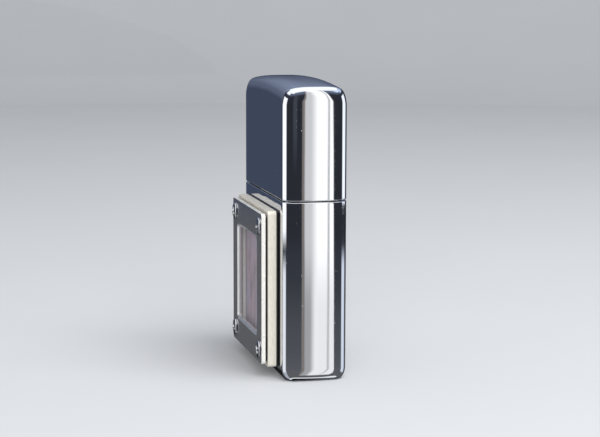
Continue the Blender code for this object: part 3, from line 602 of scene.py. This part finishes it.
def make_case_lid():
    low, high = span("case_lid")
    rim, top = low.z, high.z
    notch = hinge_axis()[1] + NOTCH_HALF_HEIGHT
    edge = TOP_EDGE[0]
    run = high.y - edge - CROWN_MIDDLE
    steps = 16
    insets = [edge + run * step / steps for step in range(steps, 0, -1)]
    outside = [case_ring(inset, top, 1) for inset in insets]
    outside += [case_ring(*station, 1) for station in edge_arc(TOP_EDGE, top, -1, 18)]
    outside += [case_ring(0, top - CROWN_BLEND), case_ring(0, (top + rim) / 2), case_ring(0, notch)]
    turn = [case_ring(*station) for station in rim_stations(rim, 1)]
    inside = [case_ring(WALL, notch), case_ring(WALL, top - CROWN_BLEND)]
    inner_edge = edge_arc(TOP_INNER_EDGE, top - WALL, -1, 6, WALL)
    inside += [case_ring(*station, 1) for station in inner_edge[::-1]]
    inside += [case_ring(inset, top - WALL, 1) for inset in insets[::-1]
               if inset > inner_edge[0][0]]
    gap = (len(outside) - 1, len(outside) + len(turn), *notch_columns(outside[-1]))
    place(add("lid_shell", skin(outside + turn + inside, gap=gap, domed=True)), "case_lid")


# ---- hinge

def hinge_axis():
    """(x, z) of the hinge pin."""
    middle = centre_of("hinge_pin")
    return middle.x, middle.z


def make_leaf(name, node, upward, first_knuckle):
    """Curved plate on the shell's inner wall, with every second knuckle of the barrel."""
    knuckles, knuckle_gap, bore = 5, 0.12, 0.5
    leaf_thickness, leaf_half_width, leaf_start = 0.35, 4.0, 1.2
    tab_thickness, tab_reach, tab_margin = 0.42, 1.3, 0.05
    axis = hinge_axis()
    low, high = span(node)
    barrel_low = span("hinge_leaf_lower")[0].y - knuckle_gap / 2
    pitch = -2 * barrel_low / knuckles
    radius = span("hinge_leaf_lower")[1].z - axis[1]
    outer_x = span("case_bottom")[0].x + WALL + SEAT_GAP
    inner_half = span("case_bottom")[1].y - WALL
    far = low.z if upward < 0 else high.z
    near = axis[1] + upward * leaf_start
    outer = []
    for step in range(17):
        y = leaf_half_width * (step / 8 - 1)
        outer.append((outer_x + SIDE_BULGE * (y / inner_half) ** 2, y))
    inner = [(x + leaf_thickness, y) for x, y in outer]
    leaf = add(name, skin([along_z(outer + inner[::-1], z) for z in sorted((near, far))]))
    parts = []
    for number in range(first_knuckle, knuckles, 2):
        start = barrel_low + number * pitch + knuckle_gap / 2
        end = start + pitch - knuckle_gap
        tab_x = axis[0] + radius - tab_margin
        tab_low, tab_high = sorted((axis[1], axis[1] + upward * tab_reach))
        parts.append(box((tab_x - tab_thickness, start + tab_margin, tab_low),
                         (tab_x, end - tab_margin, tab_high)))
        profile = ((bore, start), (radius, start), (radius, end), (bore, end))
        parts.append(turned(profile, axis, False, True, 48, 0.1))
    carve(leaf, parts, "UNION", 50)
    place(leaf, node)


def make_hinge():
    make_leaf("hinge_lower_leaf", "hinge_leaf_lower", -1, 0)
    make_leaf("hinge_upper_leaf", "hinge_leaf_upper", 1, 1)
    low, high = span("hinge_pin")
    radius = (high.z - low.z) / 2
    profile = ((radius * 0.3, low.y), (radius * 0.75, low.y + 0.02), (radius, low.y + 0.15),
               (radius, high.y - 0.15), (radius * 0.75, high.y - 0.02), (radius * 0.3, high.y))
    pin = add("hinge_axle", turned(profile, hinge_axis(), False, round_off=0.1))
    place(pin, "hinge_pin")


# ---- plaque

def plate_ring(half_width, half_height, radius, y):
    centre = centre_of("plaque_base")
    outline = rounded_rectangle(half_width, half_height, radius, 0.0, 6, 2, 2)
    return along_y(outline, y, (centre.x, centre.z))


def sizes(node):
    """Half width, half height, back and front of a plaque piece; the front is at low Y."""
    low, high = span(node)
    return (high.x - low.x) / 2, (high.z - low.z) / 2, high.y, low.y


def slab_rings(node, radius, edge, back_edge=0.05):
    """Rings of a rounded plate, its edges rounded off, from the back to the front."""
    half_width, half_height, back, front = sizes(node)
    stations = [(back_edge, back), (0, back - back_edge)]
    stations += edge_arc((edge, edge), front, 1, 4)[::-1]
    return [plate_ring(half_width - inset, half_height - inset, radius - inset, y)
            for inset, y in stations]


def screw_places():
    return [centre_of(f"plaque_screw_{number}") for number in range(1, 5)]


def screw_holes(back, front):
    return [rod_y(SCREW_HOLE, back, front, (spot.x, spot.z), 24) for spot in screw_places()]


def make_plaque():
    """Two screwed plates with a seal between them; the back one has a pocket for the print."""
    half_width, half_height, card_back, _ = sizes("picture_card")
    pocket = (half_width + SEAT_GAP, half_height + SEAT_GAP, POCKET_CORNER)
    base_back, base_front = sizes("plaque_base")[2:]
    hole_floor = base_back - 0.35
    rings = slab_rings("plaque_base", PLATE_CORNER, 0.14)
    rings += [plate_ring(*pocket, y) for y in (base_front, card_back + SEAT_GAP)]
    base = add("plaque_back_plate", skin(rings))
    carve(base, screw_holes(hole_floor, base_front - CUT))
    place(base, "plaque_base")

    half_width, half_height, back, front = sizes("plaque_gasket")
    rings = [plate_ring(half_width, half_height, PLATE_CORNER, y) for y in (back, front)]
    rings += [plate_ring(*pocket, y) for y in (front, back)]
    gasket = add("plaque_seal", skin(rings, closed=True))
    carve(gasket, screw_holes(back + CUT, front - CUT))
    place(gasket, "plaque_gasket")

    make_frame()
    card = skin(slab_rings("picture_card", POCKET_CORNER, 0.04))
    place(add("plaque_print", card), "picture_card")
    cover = skin(slab_rings("window_cover", POCKET_CORNER, 0.1))
    place(add("plaque_window", cover), "window_cover")
    turns = (12, -33, 71, 40)
    for number, (spot, turn) in enumerate(zip(screw_places(), turns), 1):
        make_plaque_screw(number, spot, turn)


def make_frame():
    """Front plate: rounded outer edge, and a window with a bright sloping border."""
    back, front = sizes("plaque_frame")[2:]
    half_width, half_height, corner = 9.0, 9.4, 0.8
    border, slope = 0.5, 0.32
    rings = slab_rings("plaque_frame", PLATE_CORNER, 0.16)
    stations = (
        (border + 0.04, front),
        (border, front + 0.03),
        (0.06, front + slope),
        (0.0, front + slope + 0.06),
        (0.0, back),
    )
    rings += [plate_ring(half_width + grow, half_height + grow, corner + grow, y)
              for grow, y in stations]
    frame_plate = add("plaque_front_frame", skin(rings, closed=True))
    carve(frame_plate, screw_holes(back + CUT, front - CUT))
    place(frame_plate, "plaque_frame")


def make_plaque_screw(number, spot, turn):
    """Low domed head with a cross recess, and a plain shank."""
    node = f"plaque_screw_{number}"
    low, high = span(node)
    radius = (high.x - low.x) / 2
    shank, height = 0.8, 0.45
    seat = low.y + height
    profile = [(shank, high.y), (shank, seat), (radius, seat), (radius, seat - height * 0.35)]
    for step in range(1, 9):
        angle = step / 8 * pi / 2 * 0.96
        profile.append((radius * cos(angle), seat - height * (0.35 + 0.65 * sin(angle))))
    screw = add(f"plaque_corner_screw_{number}",
                turned(profile, (spot.x, spot.z), False, steps=48, round_off=0.06), 50)
    half_slot, arm, depth = 0.24, 1.05, 0.34
    cutters = []
    for angle in (turn, turn + 90):
        direction = Vector((cos(radians(angle)), 0, sin(radians(angle))))
        across = Vector((-direction.z, 0, direction.x))
        rings = []
        for y, reach, width in ((low.y - 0.5, arm * 1.35, half_slot * 1.5),
                                (low.y + depth, arm * 0.6, half_slot * 0.75)):
            centre = Vector((spot.x, y, spot.z))
            rings.append([centre + direction * reach * a + across * width * b
                          for a, b in ((1, 1), (-1, 1), (-1, -1), (1, -1))])
        cutters.append(skin(rings))
    carve(screw, cutters, sharp=40, bevel=0.05)
    place(screw, node)


# ---- insert

def insert_ring(inset, z, wobble=None):
    """Ring of the insert's plan outline; wobble(x, y, z) is a share that a soft piece grows by."""
    high = span("insert_tank")[1]
    outline = rounded_rectangle(high.x - inset, high.y - inset, 2.2 - inset, 0.5)
    if not wobble:
        return along_z(outline, z)
    return [(x * (1 + wobble(x, y, z)), y * (1 + wobble(x, y, z)), z) for x, y in outline]


def make_tank():
    low, high = span("insert_tank")
    sheet = 0.35
    stations = ((0.08, low.z), (0, low.z + 0.08), (0, high.z - 0.06), (0.06, high.z),
                (sheet - 0.05, high.z), (sheet, high.z - 0.05), (sheet, low.z + 0.08),
                (sheet - 0.08, low.z))
    rings = [insert_ring(*station) for station in stations]
    place(add("fuel_tank", skin(rings, closed=True)), "insert_tank")


def make_deck():
    """Top plate with a rolled shoulder, and two ears for the cam's rivet."""
    bottom = span("insert_tank")[1].z + SEAT_GAP
    top = span("windguard")[0].z - SEAT_GAP
    cam = centre_of("cam_rivet")
    rings = [insert_ring(0.03, bottom), insert_ring(0, bottom + 0.03)]
    rings += [insert_ring(*station) for station in edge_arc((0.25, 0.25), top, -1, 5)[::-1]]
    deck = add("tank_deck", skin(rings))
    ear, foot, foot_z = 1.5, 2.2, bottom + 0.2
    outline = [(cam.x + ear * cos(a), cam.z + ear * sin(a))
               for a in (pi * i / 16 for i in range(17))]
    outline += [(cam.x - foot, foot_z), (cam.x + foot, foot_z)]
    sides = ((-1.5, -1.95), (1.5, 1.95))
    carve(deck, [skin([along_y(outline, y) for y in side]) for side in sides], "UNION")
    wick, wheel, rivet = centre_of("wick"), centre_of("flint_tube"), centre_of("cam_spring_rivet")
    holes = [
        rod_y(0.65, -4, 4, (cam.x, cam.z), 32),
        rod_z(1.5, bottom - CUT, top + CUT, wick.x),
        rod_z(2.0, bottom - CUT, top + CUT, wheel.x),
        rod_z(0.55, bottom - CUT, top + CUT, rivet.x),
    ]
    carve(deck, holes, bevel=0.04)
    place(deck, "insert_deck")


def guard_path(left, half, radius, right):
    """U in plan: along one side, round the closed end and back."""
    path = [(right, half)]
    for centre_y, start in ((half - radius, pi / 2), (radius - half, pi)):
        for step in range(13):
            angle = start + step / 12 * pi / 2
            path.append((left + radius + radius * cos(angle), centre_y + radius * sin(angle)))
    path.append((right, -half))
    return path


def make_windguard():
    """Folded sheet round the flame, with punched air holes and ears for the wheel."""
    low, high = span("windguard")
    wheel = centre_of("wheel_rivet")
    sheet, bend, ear = 0.4, 2.6, high.x - wheel.x
    right_wall, corner = 6.2, 1.0
    plan = guard_path(low.x, high.y, bend, high.x)
    plan += guard_path(low.x + sheet, high.y - sheet, bend - sheet, high.x)[::-1]
    guard = add("wind_guard", skin([along_z(plan, z) for z in (low.z, high.z)]))
    side = [(low.x - CUT, low.z - CUT), (low.x - CUT, high.z + CUT),
            (right_wall - corner, high.z + CUT)]
    side += [(right_wall - corner * (1 - sin(a)), high.z - corner * (1 - cos(a)))
             for a in (pi / 2 * step / 5 for step in range(6))]
    side += [(right_wall, wheel.z + ear)]
    side += [(wheel.x + ear * cos(a), wheel.z + ear * sin(a))
             for a in (pi / 2 * (1 - step / 12) for step in range(13))]
    side.append((wheel.x + ear * 0.75, low.z - CUT))
    reach = high.y + CUT
    carve(guard, [skin([along_y(side, y) for y in (-reach, reach)])], "INTERSECT")
    holes = [rod_y(1.05, -reach, reach, (wheel.x, wheel.z))]
    middle = (low.x + right_wall) / 2
    pitch, row_pitch, top_row, hole = 3.6, 2.9, high.z - 2.9, 0.95
    for row, count in enumerate((3, 2, 3)):
        for spot in range(count):
            x = middle + (spot - (count - 1) / 2) * pitch
            holes.append(rod_y(hole, -reach, reach, (x, top_row - row * row_pitch), 28))
    carve(guard, holes, bevel=0.07)
    place(guard, "windguard")


def make_fuel_parts():
    low, high = span("felt_pad")
    screw, tube, wick = centre_of("flint_screw"), centre_of("flint_tube"), centre_of("wick")

    def felted(x, y, z):
        return 0.006 * noise.noise(Vector((x, y, z)) * 0.9)

    stations = [(1.2, low.z), (0.75, low.z + 0.1), (0.5, low.z + 0.4), (0.45, low.z + 1.3),
                (0.5, high.z - 0.4), (0.75, high.z - 0.1), (1.2, high.z)]
    felt = add("felt_pad_soft", skin([insert_ring(inset, z, felted) for inset, z in stations]))
    carve(felt, [rod_z(2.9, low.z - CUT, high.z + CUT, screw.x)], bevel=0.1)
    place(felt, "felt_pad")

    low, high = span("fuel_packing")
    balls, rings = 5, []

    def fluffy(x, y, z):
        return 0.02 * noise.noise(Vector((x, y, z)) * 0.35) - 0.01

    for step in range(61):
        t = step / 60
        pinch = 1 - abs(sin(pi * balls * t)) ** 0.5
        z = low.z + t * (high.z - low.z)
        rings.append(insert_ring(0.7 + 0.9 * pinch, z, fluffy))
    cotton = add("cotton_wadding", skin(rings))
    carve(cotton, [rod_z(2.05, low.z - CUT, high.z + CUT, tube.x),
                   rod_z(1.45, span("wick")[0].z - 0.2, high.z + CUT, wick.x)])
    place(cotton, "fuel_packing")
    make_wick()


def make_wick():
    """Round braid: two sets of strands cross as they wind up the cord."""
    low, high = span("wick")
    x, radius = centre_of("wick").x, (high.x - low.x) / 2
    columns, strands, lay, steps = 64, 5, 2.4, 150
    rings = []
    for step in range(steps + 1):
        z = low.z + (high.z - low.z) * step / steps
        end = min(1.0, (z - low.z) / 0.6, (high.z - z) / 0.5)
        body = radius * (0.72 + 0.28 * sqrt(max(end, 0.0)))
        ring = []
        for i in range(columns):
            angle = tau * i / columns
            one = cos(strands * angle + tau * z / lay)
            other = cos(strands * angle - tau * z / lay)
            reach = body * (0.94 + 0.06 * max(one, other))
            ring.append((x + reach * cos(angle), reach * sin(angle), z))
        rings.append(ring)
    place(add("wick_braid", skin(rings), 60), "wick")


# ---- striker

def make_flint_wheel():
    """Straight-knurled thumb rims, and a drum with slanting file cuts between them."""
    low, high = span("flint_wheel")
    axle = centre_of("wheel_rivet")
    rim = (high.x - low.x) / 2
    drum, bore, teeth = rim - 0.3, 1.05, 40
    half, drum_half = high.y, 1.9
    depth, cut_depth = 0.2, 0.26
    slant = tau / teeth * 1.5

    def ring(radius, tooth, y, turn=0.0):
        points = []
        for i in range(2 * teeth):
            angle = tau * i / (2 * teeth) + turn
            reach = radius - (tooth if i % 2 else 0)
            points.append((axle.x + reach * cos(angle), y, axle.z + reach * sin(angle)))
        return points

    rings = [ring(bore, 0, -half), ring(1.9, 0, -half), ring(2.0, 0, -half + 0.12),
             ring(rim - 0.7, 0, -half + 0.12), ring(rim - 0.55, 0, -half),
             ring(rim - 0.25, depth * 0.5, -half), ring(rim, depth, -half + 0.3),
             ring(rim, depth, -drum_half - 0.1), ring(rim - 0.1, depth, -drum_half)]
    for step in range(13):
        t = step / 12
        y = (drum_half - 0.15) * (2 * t - 1)
        rings.append(ring(drum, cut_depth, y, slant * (0.5 - abs(t - 0.5)) * 2))
    rings += [[(x, -y, z) for x, y, z in one] for one in rings[8::-1]]
    place(add("striker_wheel", skin(rings, closed=True), 20), "flint_wheel")


def make_rivet(name, node, head_radius, shank):
    """Rivet along Y with a domed head at each end."""
    middle, head = centre_of(node), 0.5
    inner = span(node)[1].y - head
    dome = [(head_radius * cos(a), inner + head * (0.35 + 0.65 * sin(a)))
            for a in (pi / 2 * 0.95 * step / 6 for step in range(7))]
    right = [(shank, inner), (head_radius, inner)] + dome
    profile = [(radius, -y) for radius, y in right[::-1]] + right
    place(add(name, turned(profile, (middle.x, middle.z), False, round_off=0.05), 50), node)


def make_flint_feed():
    x = centre_of("flint_tube").x
    low, high = span("flint_tube")
    outer, bore = 1.9, 1.35
    tube = ((outer, low.z), (outer, high.z), (bore, high.z), (bore, low.z))
    place(add("flint_feed_tube", turned(tube, (x, 0), True, True, 40, 0.08)), "flint_tube")

    low, high = span("flint")
    flint = ((0.4, low.z), (1.2, low.z), (1.2, high.z - 0.05), (0.4, high.z))
    place(add("flint_stick", turned(flint, (x, 0), True, round_off=0.12)), "flint")

    low, high = span("spring_tip")
    tip = ((0.5, low.z), (0.7, low.z), (1.2, low.z + 0.4), (1.2, high.z), (0.5, high.z))
    place(add("flint_plunger", turned(tip, (x, 0), True, round_off=0.1)), "spring_tip")

    make_flint_spring(x)

    low, high = span("flint_screw")
    head, shank, head_top, pitch = 2.6, 1.3, low.z + 1.3, 0.4
    profile = [(1.0, low.z), (head, low.z), (head, head_top), (shank, head_top)]
    thread = head_top + 0.3
    while thread + pitch < high.z:
        profile += [(shank, thread), (shank - 0.14, thread + pitch / 2)]
        thread += pitch
    profile += [(shank - 0.1, high.z - 0.1), (0.6, high.z)]
    screw = add("flint_feed_screw", turned(profile, (x, 0), True, round_off=0.04))
    half_slot, slot_depth = 0.4, 0.6
    carve(screw, [box((x - 4, -half_slot, low.z - CUT), (x + 4, half_slot, low.z + slot_depth))])
    place(screw, "flint_screw")


def make_flint_spring(x):
    low, high = span("flint_spring")
    wire, turns, per_turn, sides = 0.17, 14, 24, 10
    coil = (high.x - low.x) / 2 - wire
    bottom, top = low.z + wire, high.z - wire
    rise = (top - bottom) / (turns * tau)
    lean = atan2(rise, coil)
    rings = []
    for step in range(turns * per_turn + 1):
        angle = tau * step / per_turn
        outward = Vector((cos(angle), sin(angle), 0))
        along = Vector((-sin(angle) * cos(lean), cos(angle) * cos(lean), sin(lean)))
        upward = outward.cross(along)
        centre = Vector((x, 0, bottom + rise * angle)) + outward * coil
        rings.append([centre + (outward * u + upward * v) for u, v in circle(wire, sides)])
    place(add("flint_coil", skin(rings), 60), "flint_spring")


# ---- cam

def make_cam():
    low, high = span("cam_lever")
    pivot = centre_of("cam_rivet")
    hub, tip = 1.9, 0.8
    arm = Vector((-4.0, 5.0))
    heading = atan2(arm.y, arm.x)
    lean = asin((hub - tip) / arm.length)
    outline = []
    for step in range(33):
        angle = heading + pi / 2 - lean + (pi + 2 * lean) * step / 32
        outline.append((pivot.x + hub * cos(angle), pivot.z + hub * sin(angle)))
    for step in range(17):
        angle = heading - pi / 2 + lean + (pi - 2 * lean) * step / 16
        outline.append((pivot.x + arm.x + tip * cos(angle), pivot.z + arm.y + tip * sin(angle)))
    cam = add("snap_cam", skin([along_y(outline, y) for y in (low.y, high.y)]))
    carve(cam, [rod_y(0.65, -3, 3, (pivot.x, pivot.z))], bevel=0.1)
    place(cam, "cam_lever")
    make_rivet("cam_axle", "cam_rivet", 1.1, 0.6)
    make_rivet("striker_axle", "wheel_rivet", 1.5, 1.0)
    make_cam_spring()


def make_cam_spring():
    low, high = span("cam_spring")
    thickness = 0.25
    lift = high.z - thickness
    points = [(high.x, low.z), (-10.7, low.z), (-11.9, lift - 0.1), (-12.8, lift),
              (low.x, lift - 0.1)]
    under = fillet(points, 0.8, 4)
    outline = under + [(x, z + thickness) for x, z in under][::-1]
    rivet = centre_of("cam_spring_rivet")
    spring = add("cam_leaf_spring", skin([along_y(outline, y) for y in (low.y, high.y)]))
    carve(spring, [rod_z(0.55, low.z - CUT, low.z + CUT, rivet.x)], bevel=0.03)
    place(spring, "cam_spring")
    low, high = span("cam_spring_rivet")
    seat = high.z - 0.35
    profile = [(0.3, low.z), (0.5, low.z), (0.5, seat), (0.85, seat), (0.85, seat + 0.15),
               (0.6, high.z - 0.05), (0.25, high.z)]
    shape = turned(profile, (rivet.x, 0), True, round_off=0.05)
    place(add("leaf_spring_rivet", shape), "cam_spring_rivet")


# ---- studio

# The studio that polished metal reflects, by compass and height angle in degrees. The compass
# angle is 0 towards +X and 90 towards -Y. Black cloth below, a bright line where it meets the
# dark room, the room, and an overhead softbox; the wall behind has a lighter upper half.
SOFTBOX = (1.15, 1.17, 1.20)
BRIGHT_LINE = (0.92, 0.94, 0.96)
CLOTH = (0.008, 0.008, 0.009)
ROOM = (
    (-90, CLOTH),
    (-72, CLOTH),
    (-69, BRIGHT_LINE),
    (-64, BRIGHT_LINE),
    (-59, (0.115, 0.118, 0.125)),
    (-13.4, (0.112, 0.116, 0.13)),
    (-12.2, (0.080, 0.086, 0.098)),
    (-9.6, (0.037, 0.042, 0.053)),
    (-8.4, (0.026, 0.028, 0.037)),
    (-4, (0.024, 0.026, 0.034)),
    (18, (0.026, 0.030, 0.042)),
    (32, (0.12, 0.145, 0.21)),
    (40, (0.19, 0.23, 0.32)),
    (46, SOFTBOX),
    (90, SOFTBOX),
)
WALL_BEHIND = (
    (-90, CLOTH),
    (-17, (0.010, 0.010, 0.012)),
    (-13.5, (0.105, 0.108, 0.118)),
    (-8.3, (0.105, 0.108, 0.118)),
    (-7.2, (0.052, 0.067, 0.108)),
    (0.5, (0.052, 0.067, 0.108)),
    (5, (0.10, 0.122, 0.18)),
    (14, (0.16, 0.19, 0.27)),
    (36, (0.30, 0.36, 0.48)),
    (46, SOFTBOX),
    (90, SOFTBOX),
)
WALL_EDGE = (148, 5)
# Lit panels: left, right, low and high edge, each (angle, softness), and the glow.
KEY_LEFT, KEY_LOW, KEY_HIGH = (-23.2, 0.4), (-41, 5), (40, 2)
KEY_BEND = (-9.8, 1.3)
PANELS = (
    ((4, 8), (36, 8), (-5.8, 1), (24, 6), (0.055, 0.063, 0.080)),
    (KEY_LEFT, (-6.6, 0.8), KEY_LOW, KEY_HIGH, (0.66, 0.665, 0.675)),
    (KEY_LEFT, (-6.6, 0.8), KEY_LOW, KEY_BEND, (0.39, 0.395, 0.40)),
    ((-7.5, 0.5), (-6.3, 0.5), KEY_LOW, KEY_HIGH, (0.21, 0.185, 0.17)),
    (KEY_LEFT, (-12.7, 2.6), KEY_LOW, KEY_HIGH, (1.22, 1.22, 1.22)),
    (KEY_LEFT, (-12.7, 2.6), KEY_LOW, KEY_BEND, (0.93, 0.93, 0.93)),
    ((-20.7, 0.5), (-19.6, 0.5), KEY_LOW, KEY_HIGH, (0.52, 0.53, 0.54)),
    ((-18.9, 0.8), (-9, 3), (36, 2), (52, 2), (1.22, 1.22, 1.22)),
    ((92, 5), (132, 6), (-8.75, 0.4), (15, 0.8), SOFTBOX),
    ((95, 5), (128, 6), (-27, 3), (-9.45, 0.45), (0.86, 0.89, 0.94)),
    ((-117, 6), (-81, 5), (-7.53, 0.08), (14, 1.5), (1.05, 1.10, 1.20)),
    ((-114, 6), (-79, 5), (-27, 3), (-9.2, 0.45), (0.70, 0.77, 0.88)),
    ((40, 12), (104, 6), (36, 2), (52, 2), SOFTBOX),
    ((-112, 8), (-40, 12), (34, 3), (52, 2), (0.80, 0.92, 1.15)),
    ((-176, 6), (-140, 12), (16, 8), (60, 5), (0.24, 0.29, 0.41)),
    ((84, 8), (126, 5), (27, 2), (52, 2), SOFTBOX),
    ((-125, 5), (-80, 8), (25, 3), (52, 2), (0.55, 0.66, 0.90)),
    ((90, 6), (126, 6), (-62, 3), (-24, 3), (0.42, 0.46, 0.52)),
    ((-179, 0.5), (-80, 5), (-75, 2), (-56, 3), (0.10, 0.11, 0.12)),
    ((-78, 5), (-38, 6), (-66, 1.5), (-57, 1.5), BRIGHT_LINE),
)
# The key panel's left edge is true at KEY_LEVEL, and leans by this much per degree above it, up
# to KEY_LEAN_REACH degrees.
KEY_LEVEL, KEY_LEAN, KEY_LEAN_REACH = -11, 0.13, 8
# What the camera and matt surfaces see in place of the studio.
PLAIN_LIGHT = (0.64, 0.655, 0.68)
# Side of each area light, in metres.
SOFTBOX_SIDE = 0.5


class Sky(Nodes):
    """World nodes that go by the compass and height angle of a ray."""

    def __init__(self, tree):
        super().__init__(tree)
        direction = self.make("TexCoord", "Generated", {})
        minus_y = self.math("MULTIPLY", self.axis(direction, "Y"), -1.0)
        compass = self.math("ARCTAN2", minus_y, self.axis(direction, "X"))
        self.compass = self.math("MULTIPLY", compass, degrees(1))
        height = self.math("ARCSINE", self.axis(direction, "Z"))
        self.height = self.math("MULTIPLY", height, degrees(1))
        rise = self.math("MINIMUM", self.math("SUBTRACT", self.height, KEY_LEVEL), KEY_LEAN_REACH)
        self.leaning = self.math("SUBTRACT", self.compass, self.math("MULTIPLY", rise, KEY_LEAN))

    def step(self, value, edge, soft):
        return self.ranged(value, edge - soft, edge + soft)

    def patch(self, left, right, low, high):
        """Mask of a panel with soft edges."""
        compass = self.leaning if left == KEY_LEFT else self.compass
        across = self.math("SUBTRACT", self.step(compass, *left), self.step(self.compass, *right))
        up = self.math("SUBTRACT", self.step(self.height, *low), self.step(self.height, *high))
        return self.math("MULTIPLY", across, up)

    def gradient(self, stops):
        """Colour by height angle."""
        color = stops[0][1]
        for (low, _), (high, top_color) in zip(stops, stops[1:]):
            share = self.step(self.height, (low + high) / 2, (high - low) / 2)
            color = self.mixed(share, color, top_color)
        return color


def make_world():
    """Plain pale light on everything matt; softboxes and flags in polished metal."""
    world = bpy.data.worlds.new("studio")
    bpy.context.scene.world = world
    world.use_nodes = True
    tree = world.node_tree
    sky = Sky(tree)
    behind = sky.step(sky.math("ABSOLUTE", sky.compass), *WALL_EDGE)
    color = sky.mixed(behind, sky.gradient(ROOM), sky.gradient(WALL_BEHIND))
    for *edges, glow in PANELS:
        color = sky.mixed(sky.patch(*edges), color, glow)
    path = tree.nodes.new("ShaderNodeLightPath")
    plain = sky.math("MAXIMUM", path.outputs["Is Camera Ray"], path.outputs["Is Diffuse Ray"])
    color = sky.mixed(plain, color, PLAIN_LIGHT)
    tree.links.new(color, tree.nodes["Background"].inputs["Color"])


def make_floor():
    """Pale floor that curves up into a round backdrop well clear of every camera."""
    made = Finish("pale_floor", (0.47, 0.478, 0.49), 0.8, Specular_IOR_Level=0.0)
    grain = made.noise((0.02, 0.02, 0.02), 4.0)
    made.vary_color(grain, 0.992, 1.008)
    flat, bend, wall, columns = 700.0, 250.0, 900.0, 96
    profile = [(flat * step / 8, -0.02) for step in range(1, 9)]
    profile += [(flat + bend * sin(a), bend * (1 - cos(a)))
                for a in (pi / 2 * i / 12 for i in range(13))]
    profile.append((flat + bend, wall))
    rings = [along_z(circle(radius, columns), z) for radius, z in profile]
    floor = add("floor", skin(rings, open_top=True))
    floor.data.materials.append(made.material)
    floor.visible_glossy = floor.visible_diffuse = floor.visible_shadow = False


def make_light(name, place_at, energy):
    """Large square softbox that faces the lighter; polished metal reflects the world instead."""
    data = bpy.data.lights.new(name, "AREA")
    data.shape = "SQUARE"
    data.size = SOFTBOX_SIDE
    data.energy = energy
    light = bpy.data.objects.new(name, data)
    light.location = place_at
    light.rotation_euler = light.location.to_track_quat("Z", "Y").to_euler()
    light.visible_glossy = False
    bpy.context.scene.collection.objects.link(light)


def make_camera():
    data = bpy.data.cameras.new("camera")
    data.lens = LENS
    data.sensor_width = SENSOR_WIDTH
    data.clip_start = 0.01
    data.clip_end = 10.0
    camera = bpy.data.objects.new("camera", data)
    stand = radians(CAMERA_AZIMUTH)
    look = radians(CAMERA_AZIMUTH + CAMERA_YAW)
    pitch = radians(CAMERA_PITCH)
    back = Vector((sin(look) * cos(pitch), -cos(look) * cos(pitch), sin(pitch)))
    right = Vector((0, 0, 1)).cross(back).normalized()
    turn = Matrix((right, back.cross(right), back)).transposed()
    spot = Vector((sin(stand) * CAMERA_DISTANCE, -cos(stand) * CAMERA_DISTANCE, CAMERA_HEIGHT)) * MM
    roll = Matrix.Rotation(radians(CAMERA_ROLL), 3, "Z")
    camera.matrix_world = Matrix.Translation(spot) @ (turn @ roll).to_4x4()
    bpy.context.scene.collection.objects.link(camera)
    bpy.context.scene.camera = camera


def main():
    bpy.context.scene.view_settings.view_transform = "Standard"
    make_camera()
    make_case_bottom()
    make_case_lid()
    make_hinge()
    make_plaque()
    make_tank()
    make_deck()
    make_windguard()
    make_fuel_parts()
    make_flint_wheel()
    make_flint_feed()
    make_cam()
    make_world()
    make_floor()
    make_light("overhead_softbox", (0.25, 0.20, 0.65), 5.0)
    make_light("thumb_side_softbox", (0.64, -0.10, 0.28), 3.0)


main()
